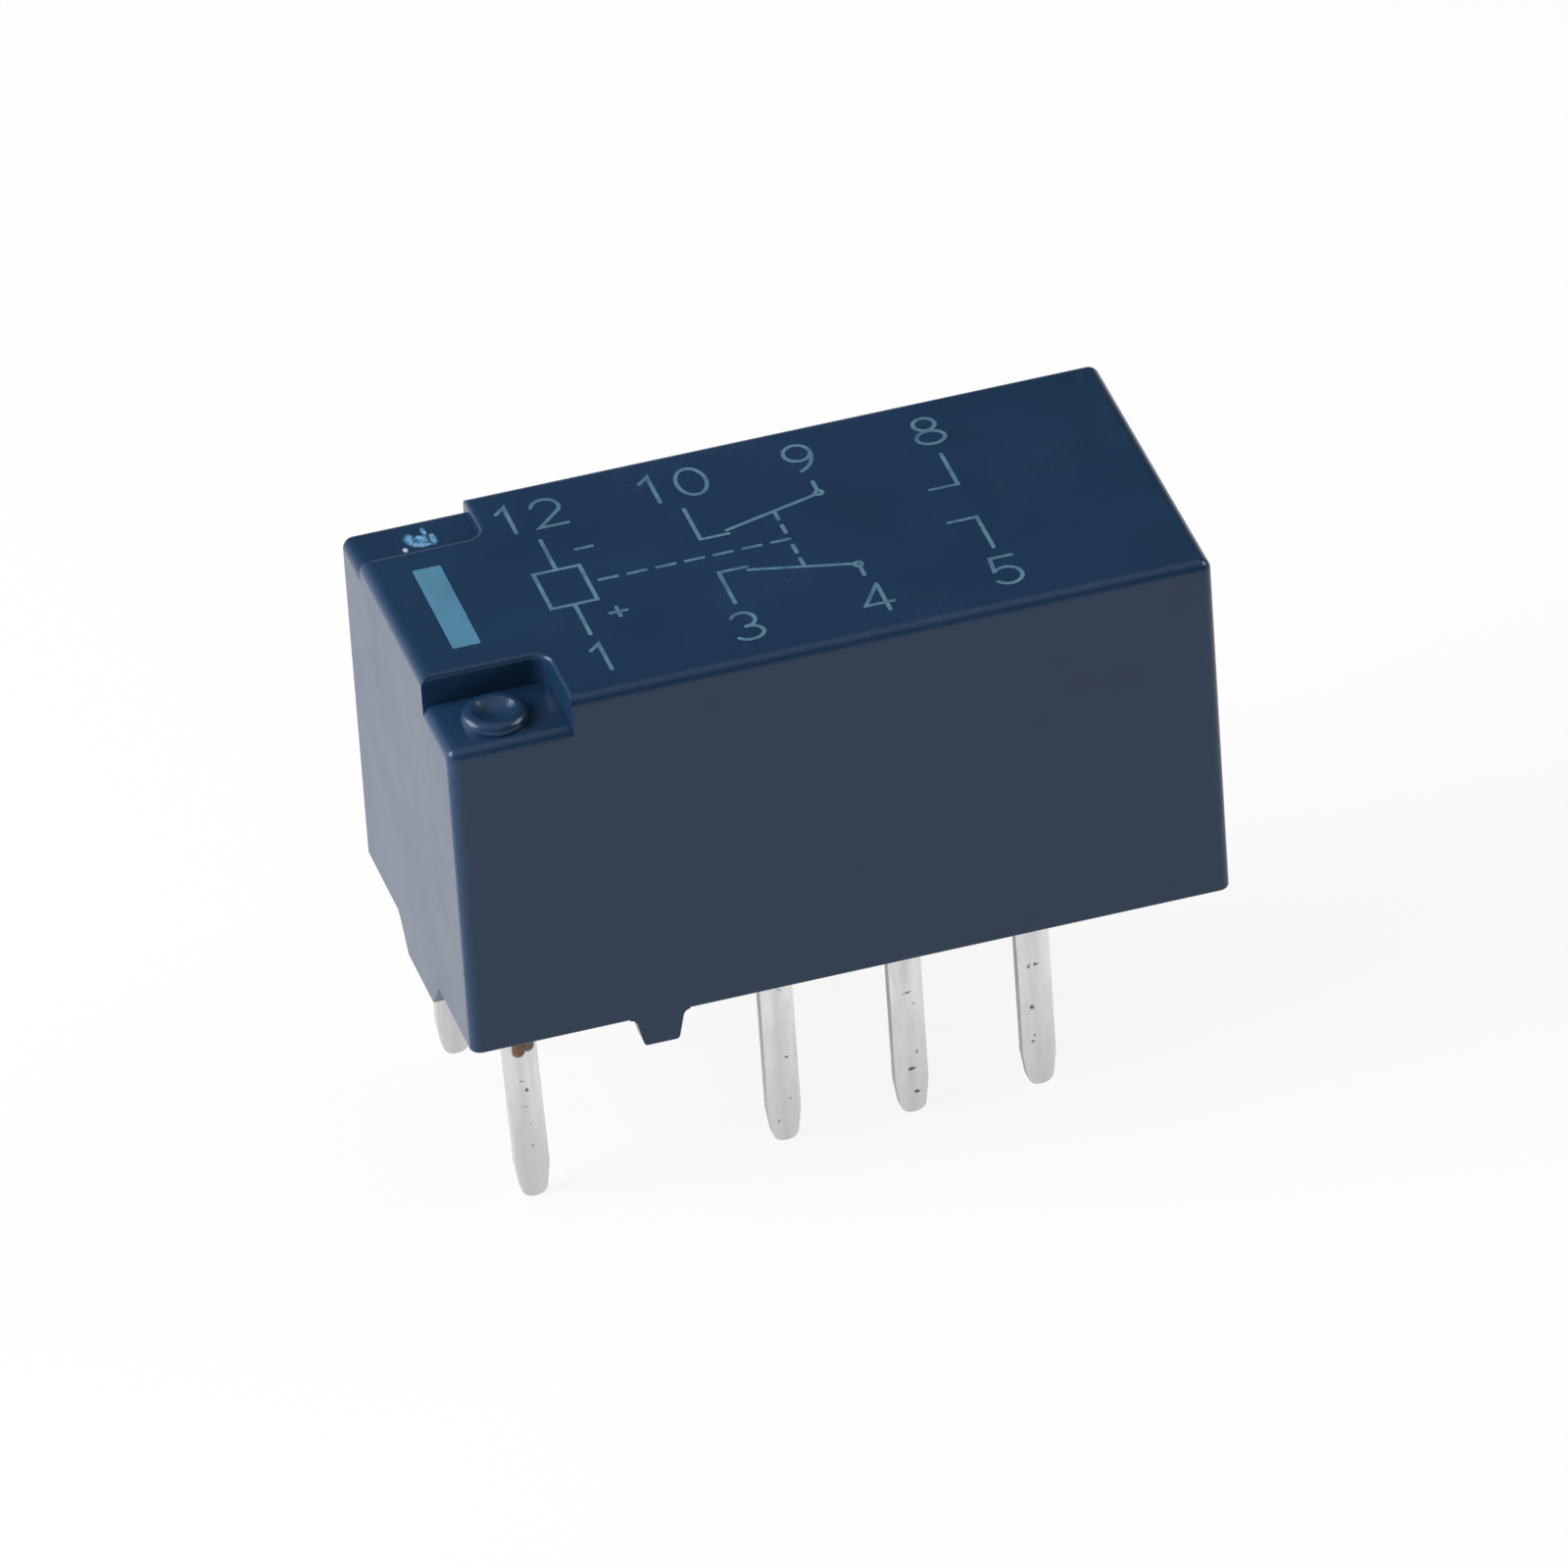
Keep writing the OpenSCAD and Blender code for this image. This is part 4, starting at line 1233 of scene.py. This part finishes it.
@dataclass
class TerminalSet:
    """Eight flat terminals and the resin that seals them."""

    finishes: Finishes
    coil: tuple[int, ...] = (1, 12)
    fixed: tuple[int, ...] = (3, 5, 8, 10)
    common: tuple[int, ...] = (4, 9)

    def build(self) -> None:
        """Dress the terminals and the resin."""
        for kind, numbers in (("coil", self.coil), ("fixed", self.fixed), ("common", self.common)):
            self.finishes.dress(Slot.TIN, *(f"{kind}_terminal_{number}" for number in numbers))
        self.finishes.dress(Slot.RESIN, "sealing_resin")


@dataclass
class CoilUnit:
    """Base, coil, core, magnet and fixed contacts, which stay still."""

    finishes: Finishes
    contacts: tuple[int, ...] = (3, 5, 8, 10)

    def build(self) -> None:
        """Dress the still pieces inside the case."""
        self.finishes.dress(Slot.BASE, "base")
        self.finishes.dress(Slot.BOBBIN, "bobbin")
        self.finishes.dress(Slot.IRON, "core")
        self.finishes.dress(Slot.MAGNET, "magnet")
        self.finishes.dress(Slot.WIRE, "lead_wire_1", "lead_wire_12", "coil_winding")
        self.finishes.dress(Slot.SILVER, *(f"fixed_contact_{number}" for number in self.contacts))


@dataclass
class ArmatureSet:
    """Everything that swings: plate, moulding, springs and moving contacts."""

    finishes: Finishes
    contacts: tuple[int, ...] = (3, 5, 8, 10)

    def build(self) -> None:
        """Dress the swinging pieces."""
        self.finishes.dress(Slot.IRON, "armature")
        self.finishes.dress(Slot.ARMATURE, "armature_moulding")
        self.finishes.dress(Slot.SPRING, "contact_spring_front", "contact_spring_rear")
        self.finishes.dress(Slot.SILVER, *(f"moving_contacts_{number}" for number in self.contacts))


@dataclass
class Camera:
    """The camera that took the photograph, as its lines and corners fix it."""

    azimuth_deg: float = -14.38
    elevation_deg: float = 34.24
    roll_deg: float = -4.09
    distance_mm: float = 421.3
    focal_px: float = 22691.2
    aim_z_mm: float = 7.0
    pan_right_mm: float = 0.091
    pan_up_mm: float = 0.678
    clip_m: Point = (0.01, 20.0)

    def place(self) -> None:
        """Make the camera and set it as the scene's."""
        azimuth, elevation, roll = (
            math.radians(angle) for angle in (self.azimuth_deg, self.elevation_deg, self.roll_deg)
        )
        level, rise = math.cos(elevation), math.sin(elevation)
        back = Vector((math.sin(azimuth) * level, -math.cos(azimuth) * level, rise))
        level_right = Vector((0, 0, 1)).cross(back).normalized()
        level_up = back.cross(level_right)
        right = math.cos(roll) * level_right + math.sin(roll) * level_up
        up = math.cos(roll) * level_up - math.sin(roll) * level_right
        eye = Vector((0, 0, self.aim_z_mm)) - self.pan_right_mm * right - self.pan_up_mm * up
        eye = (eye + self.distance_mm * back) * MM
        data = bpy.data.cameras.new("photo_camera")
        data.sensor_width = SENSOR_MM
        data.lens = SENSOR_MM * self.focal_px / PHOTO_PX
        data.clip_start, data.clip_end = self.clip_m
        camera = put_in_scene("photo_camera", data)
        turned = Matrix((right, up, back)).transposed().to_4x4()
        camera.matrix_world = Matrix.Translation(eye) @ turned
        bpy.context.scene.camera = camera
        LOG.info("camera %.0f mm from the relay", self.distance_mm)


@dataclass(frozen=True)
class Lamp:
    """A soft lamp: a glowing panel that faces the relay."""

    name: str
    place_mm: Triple
    size_mm: Point
    radiance: float
    in_reflections: bool = False
    lights_faces: bool = True

    def hang(self, target_mm: Triple) -> None:
        """Hang the lamp and turn it to a point.

        Args:
            target_mm: The point it faces.
        """
        width, height = (side * MM for side in self.size_mm)
        data = bpy.data.lights.new(self.name, "AREA")
        data.shape, data.size, data.size_y = "RECTANGLE", width, height
        data.energy = self.radiance * math.pi * width * height
        lamp = put_in_scene(self.name, data)
        place, target = Vector(self.place_mm) * MM, Vector(target_mm) * MM
        lamp.location = place
        lamp.rotation_euler = (place - target).to_track_quat("Z", "Y").to_euler()
        lamp.visible_camera = False
        lamp.visible_glossy, lamp.visible_diffuse = self.in_reflections, self.lights_faces
        LOG.info("hung %s", self.name)


@dataclass
class Studio:
    """Pale floor, dim room and soft lamps round the relay."""

    floor_half_mm: float = 3000.0
    floor_glow: float = 0.89
    floor_white: float = 0.95
    horizon: float = 0.6
    wall: float = 0.09
    ceiling: float = 0.8
    wall_band: tuple[float, float, float, float] = (0.08, 0.3, 0.72, 0.95)
    aim_mm: Triple = (0.0, 0.0, 7.0)
    lamps: tuple[Lamp, ...] = (
        Lamp("left_softbox", (-160.0, 2.0, 92.0), (110.0, 110.0), 10.8),
        Lamp("right_softbox", (200.0, 5.0, 112.0), (110.0, 110.0), 4.2),
        Lamp("left_glint", (-165.0, 72.0, 122.0), (150.0, 120.0), 9.0, True, lights_faces=False),
        Lamp("right_glint", (150.0, -30.0, 130.0), (120.0, 100.0), 6.0, True, lights_faces=False),
    )

    def build(self) -> None:
        """Lay the floor, set the room's light and hang the lamps."""
        self._lay_floor()
        self._light_room()
        for lamp in self.lamps:
            lamp.hang(self.aim_mm)
        bpy.context.scene.view_settings.view_transform = "Standard"

    def _lay_floor(self) -> None:
        """Lay the floor, which keeps shadows and shows white to the camera and in reflections."""
        half = self.floor_half_mm
        sheet = flat_patch([(-half, -half), (half, -half), (half, half), (-half, half)], 0.0)
        mesh_object("floor", sheet, self._floor_paper())

    def _floor_paper(self) -> Material:
        """Make the floor's white paper.

        Returns:
            The material.
        """
        material = bpy.data.materials.new("floor_paper")
        wiring = Wiring(cleared_tree(material))
        paper = wiring.node("ShaderNodeBsdfDiffuse", (self.floor_white,) * 3).outputs[0]
        glow = wiring.node("ShaderNodeEmission").outputs[0]
        clear = wiring.node("ShaderNodeBsdfTransparent").outputs[0]
        rays = wiring.node("ShaderNodeLightPath").outputs
        seen = wiring.math("ADD", rays["Is Camera Ray"], rays["Is Glossy Ray"], clamp=True)
        seen = wiring.math("ADD", seen, rays["Is Transmission Ray"], clamp=True)
        share = wiring.math("MULTIPLY", seen, self.floor_glow)
        lit = wiring.node("ShaderNodeMixShader", share, paper, glow).outputs[0]
        below = wiring.node("ShaderNodeNewGeometry").outputs["Backfacing"]
        sided = wiring.node("ShaderNodeMixShader", below, lit, clear).outputs[0]
        wiring.node("ShaderNodeOutputMaterial", sided)
        return material

    def _light_room(self) -> None:
        """Light the room: pale near the floor, dark walls, a pale ceiling, and white past the floor's end."""
        world = bpy.data.worlds.new("room")
        bpy.context.scene.world = world
        wiring = Wiring(cleared_tree(world))
        _, _, height = wiring.parts(wiring.node("ShaderNodeTexCoord").outputs["Generated"])
        wall_low, wall_full, wall_top, ceiling_full = self.wall_band
        lower = wiring.ramp(height, wall_low, wall_full, self.horizon, self.wall)
        level = wiring.math("ADD", lower, wiring.ramp(height, wall_top, ceiling_full, 0.0, self.ceiling))
        room = wiring.feed_named(wiring.node("ShaderNodeBackground"), Strength=level).outputs[0]
        white = wiring.node("ShaderNodeBackground", (1.0, 1.0, 1.0)).outputs[0]
        rays = wiring.node("ShaderNodeLightPath").outputs
        seen = wiring.math("ADD", rays["Is Camera Ray"], rays["Is Transmission Ray"], clamp=True)
        both = wiring.node("ShaderNodeMixShader", seen, room, white).outputs[0]
        wiring.node("ShaderNodeOutputWorld", both)


def main() -> None:
    """Build the relay's looks, its studio and its camera."""
    logging.basicConfig(level=logging.INFO, format="%(message)s")
    Camera().place()
    finishes = Finishes()
    CaseShell(finishes).build()
    TerminalSet(finishes).build()
    CoilUnit(finishes).build()
    ArmatureSet(finishes).build()
    Studio().build()


if __name__ == "__main__":
    main()
